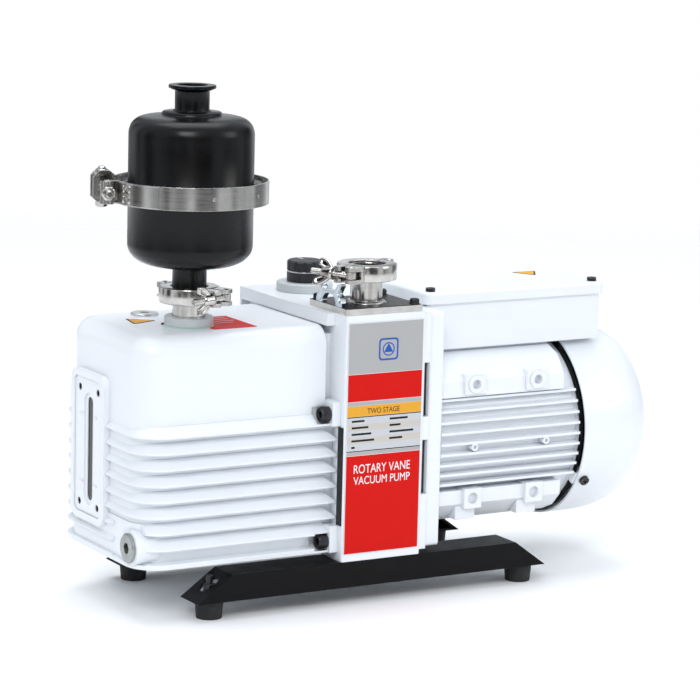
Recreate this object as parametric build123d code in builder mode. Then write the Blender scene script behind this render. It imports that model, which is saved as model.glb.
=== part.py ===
"""Two-stage rotary vane vacuum pump with oil mist filter, modelled in millimetres.

X runs along the pump from the sight glass (-X) to the fan cowl (+X), +Z is up and z = 0 is the
floor under the rubber feet. The nameplate side is -Y.
"""
import os
from math import cos, radians, sin, sqrt, tan

from build123d import *

os.makedirs("parts", exist_ok=True)

SHAFT_Z = 130.4          # height of the motor and pump axis
FLANGE_X0, FLANGE_X1 = -71.0, 7.5     # pump flange (tall middle casting)
FLANGE_TOP = 252.9
RAIL_TOP, RAIL_Y0, RAIL_Y1 = 38.8, 56.0, 89.0
CASE_X0, CASE_X1 = -254.0, -79.0      # oil casing ends
CASE_Y, CASE_BACK, CASE_Z0, CASE_TOP = 69.0, 76.0, 46.5, 241.5   # front and rear half widths
FIN_Y, FIN_BACK, FIN_PITCH, FIN_TOP_Z, FIN_COUNT = 79.0, 85.0, 13.62, 157.4, 8
EXHAUST_X, EXHAUST_Y = -185.5, -19.0  # exhaust port and filter axis
CLAMP_Z_EX, CLAMP_Z_IN = 268.6, 285.3
INTAKE_X, INTAKE_Y = -33.0, -55.0
PLATE_SCREWS = [(INTAKE_X + dx, INTAKE_Y + dy) for dx in (-32, 32) for dy in (-27.5, 27.5)]
GLASS_Y = 22.0
MOTOR_X0, MOTOR_X1 = 29.0, 174.0
FAN_X, COWL_R = 261.0, 88.0           # outer end and radius of the fan cowl
ROTOR_R, BORE_R, ECC = 36.0, 42.0, 5.7
BOX_X0, BOX_X1, BOX_Y, BOX_Z0, BOX_Z1 = 30.0, 212.0, 54.0, 210.5, 251.5
FILTER_R, FILTER_SPLIT, FILTER_TOP = 53.0, 357.0, 445.5


def save(builder, name):
    builder.part.label = name
    export_step(builder.part, f"parts/{name}.step")


def x_plane(x, y=0.0, z=0.0):
    """Sketch plane facing +X whose sketch x is +Y and sketch y is +Z."""
    return Plane(origin=(x, y, z), x_dir=(0, 1, 0), z_dir=(1, 0, 0))


def box(x0, x1, y0, y1, z0, z1, mode=Mode.ADD):
    with Locations(((x0 + x1) / 2, (y0 + y1) / 2, (z0 + z1) / 2)):
        return Box(x1 - x0, y1 - y0, z1 - z0, mode=mode)


def rod_x(x0, x1, y, z, r, mode=Mode.ADD):
    with Locations(((x0 + x1) / 2, y, z)):
        return Cylinder(r, x1 - x0, rotation=(0, 90, 0), mode=mode)


def rod_y(y0, y1, x, z, r, mode=Mode.ADD):
    with Locations((x, (y0 + y1) / 2, z)):
        return Cylinder(r, y1 - y0, rotation=(90, 0, 0), mode=mode)


def rod_z(z0, z1, x, y, r, mode=Mode.ADD):
    with Locations((x, y, (z0 + z1) / 2)):
        return Cylinder(r, z1 - z0, mode=mode)


def turned_z(points, x, y):
    """Revolve a closed (radius, height) outline about the vertical axis through x, y."""
    with BuildSketch(Plane(origin=(x, y, 0), x_dir=(1, 0, 0), z_dir=(0, -1, 0))) as outline:
        with BuildLine():
            Polyline(*points, close=True)
        make_face()
    revolve(outline.sketch, axis=Axis((x, y, 0), (0, 0, 1)))


def turned_x(points):
    """Revolve a closed (x, radius) outline about the shaft axis."""
    with BuildSketch(Plane(origin=(0, 0, SHAFT_Z), x_dir=(1, 0, 0), z_dir=(0, -1, 0))) as outline:
        with BuildLine():
            Polyline(*points, close=True)
        make_face()
    revolve(outline.sketch, axis=Axis((0, 0, SHAFT_Z), (1, 0, 0)))


def radial_rod(x, r0, r1, angle, radius, mode=Mode.ADD):
    """Round rod along a radius of the motor axis, between radii r0 and r1."""
    c, s = cos(radians(angle)), sin(radians(angle))
    plane = Plane(origin=(x, r0 * c, SHAFT_Z + r0 * s), x_dir=(1, 0, 0), z_dir=(0, c, s))
    with BuildSketch(plane) as outline:
        Circle(radius)
    extrude(outline.sketch, amount=r1 - r0, mode=mode)


# --- base rails, feet and their bolts -----------------------------------------------------------
RAIL_TIP0, RAIL_TIP1, RAIL_FLAT0, RAIL_FLAT1, RAIL_LOW = -208.5, 139.0, -176.0, 107.5, 16.0
FOOT_XS, FOOT_Y, SHEET = (-189.5, 121.0), 72.5, 2.5


def rail(side):
    """Folded sheet channel with sloped ends, a turned-in foot tab at each end and an outer web."""
    y0, y1 = sorted((side * RAIL_Y0, side * RAIL_Y1))
    outer = [(RAIL_TIP0, RAIL_LOW), (RAIL_FLAT0, RAIL_TOP), (RAIL_FLAT1, RAIL_TOP), (RAIL_TIP1, RAIL_LOW)]
    with BuildPart() as part:
        with BuildSketch(Plane(origin=(0, y1, 0), x_dir=(1, 0, 0), z_dir=(0, -1, 0))):
            with BuildLine():
                Polyline(*outer, close=True)
            make_face()
            offset(amount=-SHEET, mode=Mode.SUBTRACT)
        extrude(amount=y1 - y0)
        box(RAIL_FLAT0 + 10, RAIL_FLAT1 - 10, y0, y1, RAIL_LOW - 1, RAIL_LOW + SHEET + 1, Mode.SUBTRACT)
        web_y = side * (RAIL_Y1 - SHEET / 2)
        with BuildSketch(Plane(origin=(0, web_y + SHEET / 2, 0), x_dir=(1, 0, 0), z_dir=(0, -1, 0))):
            with BuildLine():
                Polyline(*outer, close=True)
            make_face()
        extrude(amount=SHEET)
        for x in FOOT_XS:
            rod_z(RAIL_LOW - 1, RAIL_LOW + SHEET + 1, x, side * FOOT_Y, 3.0, Mode.SUBTRACT)
        rod_z(RAIL_LOW + SHEET + 1, RAIL_TOP + 1, FOOT_XS[0], side * FOOT_Y, 8.0, Mode.SUBTRACT)
    return part


base_rail_front = rail(-1)
save(base_rail_front, "base_rail_front")
base_rail_rear = rail(1)
save(base_rail_rear, "base_rail_rear")

with BuildPart() as rubber_feet:
    for x in FOOT_XS:
        for side in (-1, 1):
            with Locations((x, side * FOOT_Y, RAIL_LOW / 2)):
                Cone(11.0, 12.5, RAIL_LOW)
            rod_z(5.0, RAIL_LOW + 1, x, side * FOOT_Y, 3.0, Mode.SUBTRACT)
save(rubber_feet, "rubber_feet")

with BuildPart() as foot_bolts:
    for side in (-1, 1):
        rod_z(5.0, 36.5, FOOT_XS[0], side * FOOT_Y, 3.0)
        with Locations((FOOT_XS[0], side * FOOT_Y, RAIL_LOW + SHEET)):
            Cylinder(7.0, 1.5, align=(Align.CENTER, Align.CENTER, Align.MIN))
        with BuildSketch(Plane.XY.offset(RAIL_LOW + SHEET + 1.5)):
            with Locations((FOOT_XS[0], side * FOOT_Y)):
                RegularPolygon(5.8, 6)
        extrude(amount=9.0)
        # under the closed end of the rail: a short screw and a thin nut
        rod_z(5.0, 20.3, FOOT_XS[1], side * FOOT_Y, 3.0)
        with BuildSketch(Plane.XY.offset(RAIL_LOW + SHEET)):
            with Locations((FOOT_XS[1], side * FOOT_Y)):
                RegularPolygon(5.0, 6)
        extrude(amount=1.8)
save(foot_bolts, "foot_bolts")

# --- oil casing ---------------------------------------------------------------------------------
CASE_MID = (CASE_X0 + CASE_X1) / 2
CASE_LEN = CASE_X1 - CASE_X0
FIN_X0, FIN_X1 = -258.0, -72.0
BOLT_Y, BOLT_ZS = 75.0, (56.0, 167.0)
DRAIN_Y, DRAIN_Z = -56.0, 63.0
RIM_W, PLATE_W, SCREW_DY, RIM_Z0, RIM_Z1 = 65.0, 52.0, 17.5, 70.0, 199.5
RIM_X = -260.0


def case_outline(z, x0, x1, front, back, radius):
    """Plan outline at height z with the two far corners rounded and the flange end square."""
    with BuildSketch(Plane.XY.offset(z)) as outline:
        with Locations(((x0 + x1) / 2, (back - front) / 2)):
            Rectangle(x1 - x0, front + back)
        fillet(outline.vertices().sort_by(Axis.X)[:2], radius)
    return outline.sketch


with BuildPart() as oil_casing:
    extrude(case_outline(CASE_Z0, CASE_X0, CASE_X1, CASE_Y, CASE_BACK, 24), amount=CASE_TOP - CASE_Z0)
    top = oil_casing.faces().sort_by(Axis.Z)[-1].edges()
    fillet(top.filter_by(lambda e: e.center().X < CASE_X1 - 1), 17)
    for k in range(FIN_COUNT):
        z = FIN_TOP_Z - k * FIN_PITCH
        extrude(case_outline(z, FIN_X0, FIN_X1, FIN_Y, FIN_BACK, 28), amount=1.6)
        extrude(case_outline(z + 1.6, FIN_X0, FIN_X1, FIN_Y, FIN_BACK, 28), amount=7.5, taper=50)
    extrude(case_outline(CASE_Z0, FIN_X0, FIN_X1, FIN_Y, FIN_BACK, 28), amount=4.5)
    # raised rim round the sight glass, drain boss and bolt lugs
    with BuildSketch(x_plane(RIM_X, GLASS_Y, (RIM_Z0 + RIM_Z1) / 2)):
        RectangleRounded(RIM_W, RIM_Z1 - RIM_Z0, 10)
    extrude(amount=8)
    box(-262, -249, -82, -24, CASE_Z0 + 3.6, 84, Mode.SUBTRACT)
    extrude(case_outline(CASE_Z0 + 3.6, CASE_X0 - 1, CASE_X1, CASE_Y, CASE_BACK, 24), amount=80.4 - CASE_Z0)
    rod_x(-257, -236, DRAIN_Y, DRAIN_Z, 15.5)
    for side, wall in ((-1, CASE_Y), (1, CASE_BACK)):
        y0, y1 = sorted((side * 62, side * 82))
        box(-79, FLANGE_X0, y0, y1, 157, 178)
        box(-79, FLANGE_X0, y0, y1, CASE_Z0, 70)
        box(-79, FLANGE_X0, *sorted((side * 60, side * wall)), 70, 157)
        for z in BOLT_ZS:
            rod_x(-92, -79, side * BOLT_Y, z, 8.5, Mode.SUBTRACT)
            rod_x(-80, -70, side * BOLT_Y, z, 4.2, Mode.SUBTRACT)
    # oil space, open towards the pump flange
    extrude(case_outline(50, -249, -70, 63.5, 63.5, 19), amount=183, mode=Mode.SUBTRACT)
    # seat and window opening for the sight glass
    with BuildSketch(x_plane(RIM_X, GLASS_Y, 134.7)):
        RectangleRounded(PLATE_W + 0.6, 118, 6)
    extrude(amount=5, mode=Mode.SUBTRACT)
    with BuildSketch(x_plane(-262, GLASS_Y, 132.5)):
        SlotOverall(96, 14, rotation=90)
    extrude(amount=20, mode=Mode.SUBTRACT)
    for dy in (-SCREW_DY, SCREW_DY):
        for z in (84, 184):
            rod_x(-256, -250, GLASS_Y + dy, z, 2.5, Mode.SUBTRACT)
    rod_x(-262, -230, DRAIN_Y, DRAIN_Z, 8.0, Mode.SUBTRACT)
    rod_z(231, 243, EXHAUST_X, EXHAUST_Y, 13, Mode.SUBTRACT)
    rod_z(231, 243, -196, 44, 9, Mode.SUBTRACT)
save(oil_casing, "oil_casing")

with BuildPart() as sight_glass_plate:
    with BuildSketch(x_plane(-258.5, GLASS_Y, 134.7)):
        RectangleRounded(PLATE_W, 117.4, 5.7)
    extrude(amount=2.5)
    with BuildSketch(x_plane(-259, GLASS_Y, 132.5)):
        SlotOverall(97, 18, rotation=90)
    extrude(amount=2, mode=Mode.SUBTRACT)
    with BuildSketch(x_plane(-259, GLASS_Y, 132.5)):
        SlotOverall(90, 10, rotation=90)
    extrude(amount=5, mode=Mode.SUBTRACT)
    for dy in (-SCREW_DY, SCREW_DY):
        for z in (84, 184):
            rod_x(-259, -255, GLASS_Y + dy, z, 3.2, Mode.SUBTRACT)
save(sight_glass_plate, "sight_glass_plate")

with BuildPart() as sight_glass_window:
    with BuildSketch(x_plane(-256, GLASS_Y, 132.5)):
        SlotOverall(94, 13.6, rotation=90)
    extrude(amount=5.5)
save(sight_glass_window, "sight_glass_window")

with BuildPart() as sight_glass_screws:
    for dy in (-SCREW_DY, SCREW_DY):
        for z in (84, 184):
            rod_x(-257.8, -256, GLASS_Y + dy, z, 3.1)
            rod_x(-256, -250.5, GLASS_Y + dy, z, 2.4)
            with BuildSketch(x_plane(-258, GLASS_Y + dy, z)):
                RegularPolygon(1.7, 6)
            extrude(amount=2, mode=Mode.SUBTRACT)
save(sight_glass_screws, "sight_glass_screws")

with BuildPart() as oil_drain_plug:
    rod_x(-260, -257, DRAIN_Y, DRAIN_Z, 12.5)
    chamfer(oil_drain_plug.edges().group_by(Axis.X)[0], 1.0)
    rod_x(-257, -238, DRAIN_Y, DRAIN_Z, 7.9)
    with BuildSketch(x_plane(-261, DRAIN_Y, DRAIN_Z)):
        RegularPolygon(5.2, 6)
    extrude(amount=7, mode=Mode.SUBTRACT)
save(oil_drain_plug, "oil_drain_plug")

with BuildPart() as oil_fill_plug:
    rod_z(CASE_TOP, CASE_TOP + 2, -196, 44, 12)
    chamfer(oil_fill_plug.edges().group_by(Axis.Z)[-1], 0.8)
    rod_z(231, CASE_TOP, -196, 44, 8.9)
    with BuildSketch(Plane.XY.offset(CASE_TOP)):
        with Locations((-196, 44)):
            RegularPolygon(4.6, 6)
    extrude(amount=3, mode=Mode.SUBTRACT)
save(oil_fill_plug, "oil_fill_plug")

with BuildPart() as casing_bolts:
    for side in (-1, 1):
        for z in BOLT_ZS:
            rod_x(-88, -79, side * BOLT_Y, z, 6.5)
            rod_x(-79, -60, side * BOLT_Y, z, 4.0)
            with BuildSketch(x_plane(-89, side * BOLT_Y, z)):
                RegularPolygon(3.4, 6)
            extrude(amount=5, mode=Mode.SUBTRACT)
save(casing_bolts, "casing_bolts")

# --- pump flange and nameplate ------------------------------------------------------------------
with BuildPart() as pump_flange:
    box(FLANGE_X0, FLANGE_X1, -89, 89, RAIL_TOP, FLANGE_TOP)
    fillet(pump_flange.edges().filter_by(Axis.Z), 2.0)
    box(FLANGE_X1 - 4, 15, -86, 86, 42, 251)
    box(-79, FLANGE_X0 + 2, -61.5, 61.5, 52, 234)
    box(-79, FLANGE_X0 + 2, -CASE_Y, 89, CASE_TOP + 0.5, FLANGE_TOP)
    box(-79, FLANGE_X0 + 2, FIN_BACK + 0.6, 89, RAIL_TOP + 4, FLANGE_TOP)
    box(-59, 16, -77, 77, 52, 240, Mode.SUBTRACT)
    for side in (-1, 1):
        y0, y1 = sorted((side * 70, side * 90))
        box(9, 14.2, y0, y1, 159.5, 207, Mode.SUBTRACT)
        box(9, 14.2, y0, y1, 91, 139, Mode.SUBTRACT)
        for z in BOLT_ZS:
            rod_x(-72, -58, side * BOLT_Y, z, 4.0, Mode.SUBTRACT)
    # intake channel: down from the plate, then across to the pump
    rod_z(196, 241, INTAKE_X, INTAKE_Y, 18)
    box(-60, INTAKE_X, -71, -39, 200, 228)
    rod_z(204, 254, INTAKE_X, INTAKE_Y, 12.0, Mode.SUBTRACT)
    rod_x(-66, INTAKE_X, INTAKE_Y, 214, 8, Mode.SUBTRACT)
    rod_x(-80, -58, 0, SHAFT_Z, 9.4, Mode.SUBTRACT)
    for x, y in PLATE_SCREWS:
        rod_z(245, 254, x, y, 2.5, Mode.SUBTRACT)
save(pump_flange, "pump_flange")

with BuildPart() as nameplate:
    box(-69.5, 4.5, -90, -89, 45.5, 246.5)
save(nameplate, "nameplate")

# --- intake plate, port and lifting eye ---------------------------------------------------------
PLATE_TOP = 258.3


def port_tube(x, y, z0, z1, inner, wall, face_up=True):
    """Clamp-flange tube: straight tube ending in a 40 mm flange with a conical back."""
    s = 1 if face_up else -1
    end, start = (z1, z0) if face_up else (z0, z1)
    turned_z([(inner, start), (inner + wall, start), (inner + wall, end - s * 4.7), (20, end - s * 2.6),
              (20, end), (inner, end)], x, y)


with BuildPart() as intake_plate:
    box(INTAKE_X - 38, INTAKE_X + 38, INTAKE_Y - 33, INTAKE_Y + 33, FLANGE_TOP, PLATE_TOP)
    fillet(intake_plate.edges().filter_by(Axis.Z), 2.5)
    rod_z(250, 260, INTAKE_X, INTAKE_Y, 14.0, Mode.SUBTRACT)
    for x, y in PLATE_SCREWS:
        rod_z(250, 260, x, y, 2.75, Mode.SUBTRACT)
save(intake_plate, "intake_plate")

with BuildPart() as intake_port:
    port_tube(INTAKE_X, INTAKE_Y, FLANGE_TOP, CLAMP_Z_IN, 12.5, 1.5)
save(intake_port, "intake_port")

with BuildPart() as intake_plate_screws:
    for x, y in PLATE_SCREWS:
        rod_z(PLATE_TOP, PLATE_TOP + 5, x, y, 4.2)
        rod_z(245.5, PLATE_TOP, x, y, 2.5)
        with BuildSketch(Plane.XY.offset(PLATE_TOP + 2)):
            with Locations((x, y)):
                RegularPolygon(2.3, 6)
        extrude(amount=4, mode=Mode.SUBTRACT)
save(intake_plate_screws, "intake_plate_screws")

with BuildPart() as lifting_eye:
    with BuildSketch(x_plane(INTAKE_X - 37.5, INTAKE_Y, PLATE_TOP)):
        with BuildLine():
            Polyline((-21.5, 0), (-21.5, 5), (-15, 11), (-21, 19.5), (-15, 19.5), (-8, 12.8), (12, 12.8),
                     (17, 19.5), (21, 19.5), (15, 11), (21.5, 5), (21.5, 0), close=True)
        make_face()
        with Locations((0, 0)):
            Ellipse(12, 9.5, mode=Mode.SUBTRACT)
    extrude(amount=6)
save(lifting_eye, "lifting_eye")

# --- exhaust port -------------------------------------------------------------------------------
with BuildPart() as exhaust_port:
    turned_z([(12.5, 236.5), (13, 236.5), (13, CASE_TOP), (20.3, CASE_TOP), (20.3, CASE_TOP + 7.2),
              (19.3, CASE_TOP + 8.2), (14, CASE_TOP + 8.2), (14, CLAMP_Z_EX - 4.7), (20, CLAMP_Z_EX - 2.6),
              (20, CLAMP_Z_EX), (12.5, CLAMP_Z_EX)], EXHAUST_X, EXHAUST_Y)
save(exhaust_port, "exhaust_port")

# --- port clamps: two jaws, swing bolt and wing nut ---------------------------------------------
# Local frame: centre of the flange joint, closure towards local -Y, bolt along local X.
RING_R, RING_H, CLOSE_Y, PIVOT_X = 26.0, 14.0, -34.0, 8.0


def ring_half(sign):
    """One jaw's half ring with the conical groove, split just clear of the other jaw."""
    with BuildSketch(Plane(origin=(0, 0, 0), x_dir=(1, 0, 0), z_dir=(0, -1, 0))) as outline:
        with BuildLine():
            Polyline((16, -RING_H / 2), (RING_R, -RING_H / 2), (RING_R, RING_H / 2), (16, RING_H / 2),
                     (16, 5.0), (20.4, 3.2), (20.4, -3.2), (16, -5.0), close=True)
        make_face()
    revolve(outline.sketch, axis=Axis.Z)
    x0, x1 = sorted((-sign * 40, sign * 0.6))
    box(x0, x1, -60, 60, -20, 20, Mode.SUBTRACT)


def place(part, x, y, z, angle):
    return part.moved(Location((x, y, z), (0, 0, angle)))


def clamp_parts(prefix, x, y, z, angle, wing_turn):
    """Build a clamp in its local frame and save its four pieces in place."""
    with BuildPart() as jaw_a:
        ring_half(-1)
        box(-9, -1, -38, -24, -7, 7)
        box(-10, -1, -39, -28, -3.6, 3.6, Mode.SUBTRACT)
        box(-6, -0.6, 24, 33, -7, -2.5)
        box(-6, -0.6, 24, 33, 2.5, 7)
    with BuildPart() as jaw_b:
        ring_half(1)
        box(1, 14, -38, -22, -7, 7)
        box(0.9, 15, -39, -26.5, -3.6, 3.6, Mode.SUBTRACT)
        rod_z(-7.5, 7.5, PIVOT_X, CLOSE_Y, 2.5)
        box(-0.5, 6, 24, 33, -2.2, 2.2)
        box(0.6, 6, 24, 33, -7, 7)
        rod_z(-7.5, 7.5, 2.7, 29.5, 2.0)
    with BuildPart() as swing_bolt:
        rod_z(-3.2, 3.2, PIVOT_X, CLOSE_Y, 4.3)
        rod_z(-4, 4, PIVOT_X, CLOSE_Y, 2.55, Mode.SUBTRACT)
        rod_x(-34, PIVOT_X - 3.6, CLOSE_Y, 0, 2.9)
    with BuildPart() as wing_nut:
        rod_x(-22, -10, CLOSE_Y, 0, 5.5)
        with BuildSketch(Plane(origin=(0, CLOSE_Y + 1.6, 0), x_dir=(1, 0, 0), z_dir=(0, -1, 0))):
            for s in (-1, 1):
                with BuildLine():
                    Polyline((-13, s * 3), (-20, s * 10.5), (-25.5, s * 12.5), (-28.5, s * 10.5),
                             (-23.5, s * 5), (-21, s * 3), close=True)
                make_face()
        extrude(amount=3.2)
        rod_x(-35, -9, CLOSE_Y, 0, 2.97, Mode.SUBTRACT)
        fillet(wing_nut.edges().filter_by(Axis.Y).group_by(Axis.X)[0], 1.5)
    for piece, name in ((jaw_a, "clamp_jaw_a"), (jaw_b, "clamp_jaw_b"), (swing_bolt, "swing_bolt"),
                        (wing_nut, "wing_nut")):
        shape = piece.part
        if name == "wing_nut":
            shape = shape.rotate(Axis((0, CLOSE_Y, 0), (1, 0, 0)), wing_turn)
        moved = place(shape, x, y, z, angle)
        moved.label = f"{prefix}_{name}"
        export_step(moved, f"parts/{prefix}_{name}.step")


clamp_parts("exhaust", EXHAUST_X, EXHAUST_Y, CLAMP_Z_EX, 22, 0)
clamp_parts("intake", INTAKE_X, INTAKE_Y, CLAMP_Z_IN, -66, -28)

# --- gas ballast --------------------------------------------------------------------------------
GB_X, GB_Y = -35.0, 50.0
with BuildPart() as gas_ballast_base:
    rod_z(FLANGE_TOP, 261, GB_X, GB_Y, 25)
    chamfer(gas_ballast_base.edges().group_by(Axis.Z)[-1], 1.2)
    rod_z(261, 272, GB_X, GB_Y, 7)
save(gas_ballast_base, "gas_ballast_base")

with BuildPart() as gas_ballast_knob:
    rod_z(261.4, 280, GB_X, GB_Y, 16)
    chamfer(gas_ballast_knob.edges().group_by(Axis.Z)[-1], 1.5)
    rod_z(269, 271, GB_X, GB_Y, 17, Mode.SUBTRACT)
    rod_z(268.5, 271.5, GB_X, GB_Y, 14.5)
    with Locations(*[(GB_X + 16.8 * cos(radians(a)), GB_Y + 16.8 * sin(radians(a)), 275.5)
                     for a in range(0, 360, 30)]):
        Cylinder(1.8, 10, mode=Mode.SUBTRACT)
    rod_z(260, 272.4, GB_X, GB_Y, 7.06, Mode.SUBTRACT)
    box(GB_X - 1.2, GB_X + 1.2, GB_Y + 4, GB_Y + 14, 279.4, 281, Mode.SUBTRACT)
save(gas_ballast_knob, "gas_ballast_knob")

# --- motor --------------------------------------------------------------------------------------
with BuildPart() as motor_flange:
    box(15, MOTOR_X0, -84, 84, 43, 250)
    fillet(motor_flange.edges().filter_by(Axis.X), 3)
    rod_x(14, 30, 0, SHAFT_Z, 20, Mode.SUBTRACT)
save(motor_flange, "motor_flange")

ENVELOPE, BAND_X1, COWL_SCREW_ANGLES = 86.0, 160.0, (30, 210, 330)
with BuildPart() as motor_housing:
    rod_x(MOTOR_X0, MOTOR_X1, 0, SHAFT_Z, 79)
    for k in range(9):
        dz = -36 + 9.4 * k
        half = sqrt(ENVELOPE ** 2 - dz ** 2)
        box(MOTOR_X0, MOTOR_X1, -half, half, SHAFT_Z + dz - 1.2, SHAFT_Z + dz + 1.2)
        box(MOTOR_X0, MOTOR_X1, 4 - half, half - 4, SHAFT_Z + dz - 1.8, SHAFT_Z + dz + 1.8)
    with BuildSketch(x_plane(MOTOR_X0)):
        for s in (-1, 1):
            with BuildLine():
                Polyline((s * 40, 172), (s * 78.5, 172), (s * 77.5, 186), (s * 66, 201), (s * 50, 208),
                         (s * 30, 208), close=True)
            make_face()
            with BuildLine():
                Polyline((s * 40, 88.5), (s * 77.5, 88.5), (s * 77.5, 76), (s * 66, 64), (s * 50, 57),
                         (s * 20, 55), close=True)
            make_face()
    extrude(amount=BAND_X1 - MOTOR_X0)
    with BuildSketch(x_plane(BAND_X1 - 2, 0, SHAFT_Z)):
        Circle(BOX_Z0 - SHAFT_Z - 0.4)
        with Locations((0, -60)):
            Rectangle(200, 202, mode=Mode.SUBTRACT)
    extrude(amount=MOTOR_X1 - BAND_X1 + 2)
    box(40, BAND_X1, -48, 48, 190, BOX_Z0)
    for side in (-1, 1):
        for x in (66, 130):
            box(x - 11, x + 11, *sorted((side * 60, side * 80.5)), 174, 192)
            rod_y(*sorted((side * 60, side * 82)), x, 183, 8)
            box(x - 9, x + 9, *sorted((side * 60, side * 81)), 72, 90)
            box(x - 15, x + 5, *sorted((side * 55, side * 76)), 62, 74)
            rod_y(*sorted((side * 70, side * 86)), 1.17 * x - 14, 128, 3.4)
            rod_y(*sorted((side * 84, side * 88)), 1.17 * x - 14, 128, 1.6, Mode.SUBTRACT)
            rod_y(*sorted((side * 77, side * 83)), x, 183, 4.2, Mode.SUBTRACT)
            rod_y(*sorted((side * 77, side * 82)), x, 81, 5.0, Mode.SUBTRACT)
    rod_x(MOTOR_X0 - 1, MOTOR_X1 + 1, 0, SHAFT_Z, 62, Mode.SUBTRACT)
save(motor_housing, "motor_housing")

with BuildPart() as motor_rear_shield:
    turned_x([(158, 20), (174, 20), (174, 16), (177, 16), (177, 80), (174, 80), (174, 61.7), (166, 61.7),
              (166, 28), (158, 28)])
    with BuildSketch(x_plane(176.5, 0, SHAFT_Z)):
        for angle in COWL_SCREW_ANGLES:
            with PolarLocations(81, 1, start_angle=angle):
                Rectangle(9.6, 12)
    extrude(amount=15.5)
    for angle in COWL_SCREW_ANGLES:
        radial_rod(186, 75, 90, angle, 2.4, Mode.SUBTRACT)
save(motor_rear_shield, "motor_rear_shield")

with BuildPart() as fan_cowl:
    skin, r0, r1 = 1.8, COWL_R, 56.0
    steps = 8
    arc = [(205 + (FAN_X - 205) * sin(radians(90 * t / steps)),
            r1 + (r0 - r1) * cos(radians(90 * t / steps))) for t in range(steps + 1)]
    inner = [(x - skin * 0.8, r - skin * 0.9) for x, r in arc[1:]]
    turned_x([(178.6, r0)] + arc + [(FAN_X, 4), (FAN_X - skin, 4)]
             + [(FAN_X - skin, r1 - skin)] + inner[-2::-1] + [(205, r0 - skin), (178.6, r0 - skin)])
    for r in (14, 22, 30, 38, 46):
        with BuildSketch(x_plane(FAN_X - 4, 0, SHAFT_Z)):
            Circle(r + 2.6)
            Circle(r - 2.6, mode=Mode.SUBTRACT)
            with PolarLocations(0, 3):
                Rectangle(120, 5, mode=Mode.SUBTRACT)
        extrude(amount=6, mode=Mode.SUBTRACT)
    for angle in COWL_SCREW_ANGLES:
        radial_rod(186, 80, COWL_R + 2, angle, 2.5, Mode.SUBTRACT)
save(fan_cowl, "fan_cowl")

with BuildPart() as cowl_screws:
    for angle in COWL_SCREW_ANGLES:
        radial_rod(186, 77, COWL_R + 1, angle, 2.4)
        radial_rod(186, COWL_R, COWL_R + 3.2, angle, 4.4)
        radial_rod(186, COWL_R + 1.6, COWL_R + 4, angle, 2.0, Mode.SUBTRACT)
save(cowl_screws, "cowl_screws")

with BuildPart() as cooling_fan:
    turned_x([(190, 9.5), (228, 9.5), (228, 15), (212, 20), (194, 24), (190, 24)])
    turned_x([(190, 9.5), (193, 9.5), (193, 72), (190, 72)])
    for angle in range(0, 360, 45):
        c, s = cos(radians(angle)), sin(radians(angle))
        plane = Plane(origin=(190, 0, SHAFT_Z), x_dir=(1, 0, 0), z_dir=(0, -s, c))
        with BuildSketch(plane):
            with BuildLine():
                Polyline((0, 14), (34, 14), (34, 62), (22, 72), (0, 72), close=True)
            make_face()
        extrude(amount=1.5, both=True)
save(cooling_fan, "cooling_fan")

with BuildPart() as stator_core:
    rod_x(55, 145, 0, SHAFT_Z, 61.8)
    rod_x(54, 146, 0, SHAFT_Z, 38.7, Mode.SUBTRACT)
save(stator_core, "stator_core")

with BuildPart() as stator_windings:
    for x0, x1 in ((38, 55), (145, 157)):
        rod_x(x0, x1, 0, SHAFT_Z, 58)
        rod_x(x0 - 1, x1 + 1, 0, SHAFT_Z, 43, Mode.SUBTRACT)
    fillet(stator_windings.edges().filter_by(GeomType.CIRCLE).filter_by(
        lambda e: e.radius > 50 and not 50 < e.center().X < 150), 4)
save(stator_windings, "stator_windings")

with BuildPart() as motor_rotor:
    rod_x(-9, 236, 0, SHAFT_Z, 9.5)
    rod_x(58, 142, 0, SHAFT_Z, 38)
    chamfer(motor_rotor.edges().group_by(Axis.X)[-1], 1.0)
save(motor_rotor, "motor_rotor")

with BuildPart() as motor_bearings:
    for x0, x1 in ((16, 28), (159, 171)):
        rod_x(x0, x1, 0, SHAFT_Z, 20)
        rod_x(x0 - 1, x1 + 1, 0, SHAFT_Z, 9.55, Mode.SUBTRACT)
save(motor_bearings, "motor_bearings")

# --- terminal box -------------------------------------------------------------------------------
SWITCH_X, INLET_X, PANEL_Z = 84.0, 140.0, 231.0
with BuildPart() as terminal_box:
    box(BOX_X0, BOX_X1, -BOX_Y, BOX_Y, BOX_Z0, BOX_Z1)
    fillet(terminal_box.edges().filter_by(Axis.Z), 3)
    box(BOX_X0 + 2.5, 173, -BOX_Y + 2.5, BOX_Y - 2.5, BOX_Z0 + 3, BOX_Z1 + 1, Mode.SUBTRACT)
    box(172, BOX_X1 - 2.5, -BOX_Y + 2.5, BOX_Y - 2.5, 222.5, BOX_Z1 + 1, Mode.SUBTRACT)
    rod_x(175.5, BOX_X1 + 1, 0, SHAFT_Z, COWL_R + 1, Mode.SUBTRACT)
    for x in (36, 206):
        for y in (-48, 48):
            box(x - 5, x + 5, y - 5, y + 5, BOX_Z0, BOX_Z1)
        rod_z(235, 253, x, -48, 2.0, Mode.SUBTRACT)
    box(SWITCH_X - 10, SWITCH_X + 10, 50, 56, PANEL_Z - 14, PANEL_Z + 14, Mode.SUBTRACT)
    box(INLET_X - 14, INLET_X + 14, 50, 56, PANEL_Z - 10, PANEL_Z + 10, Mode.SUBTRACT)
save(terminal_box, "terminal_box")

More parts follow.
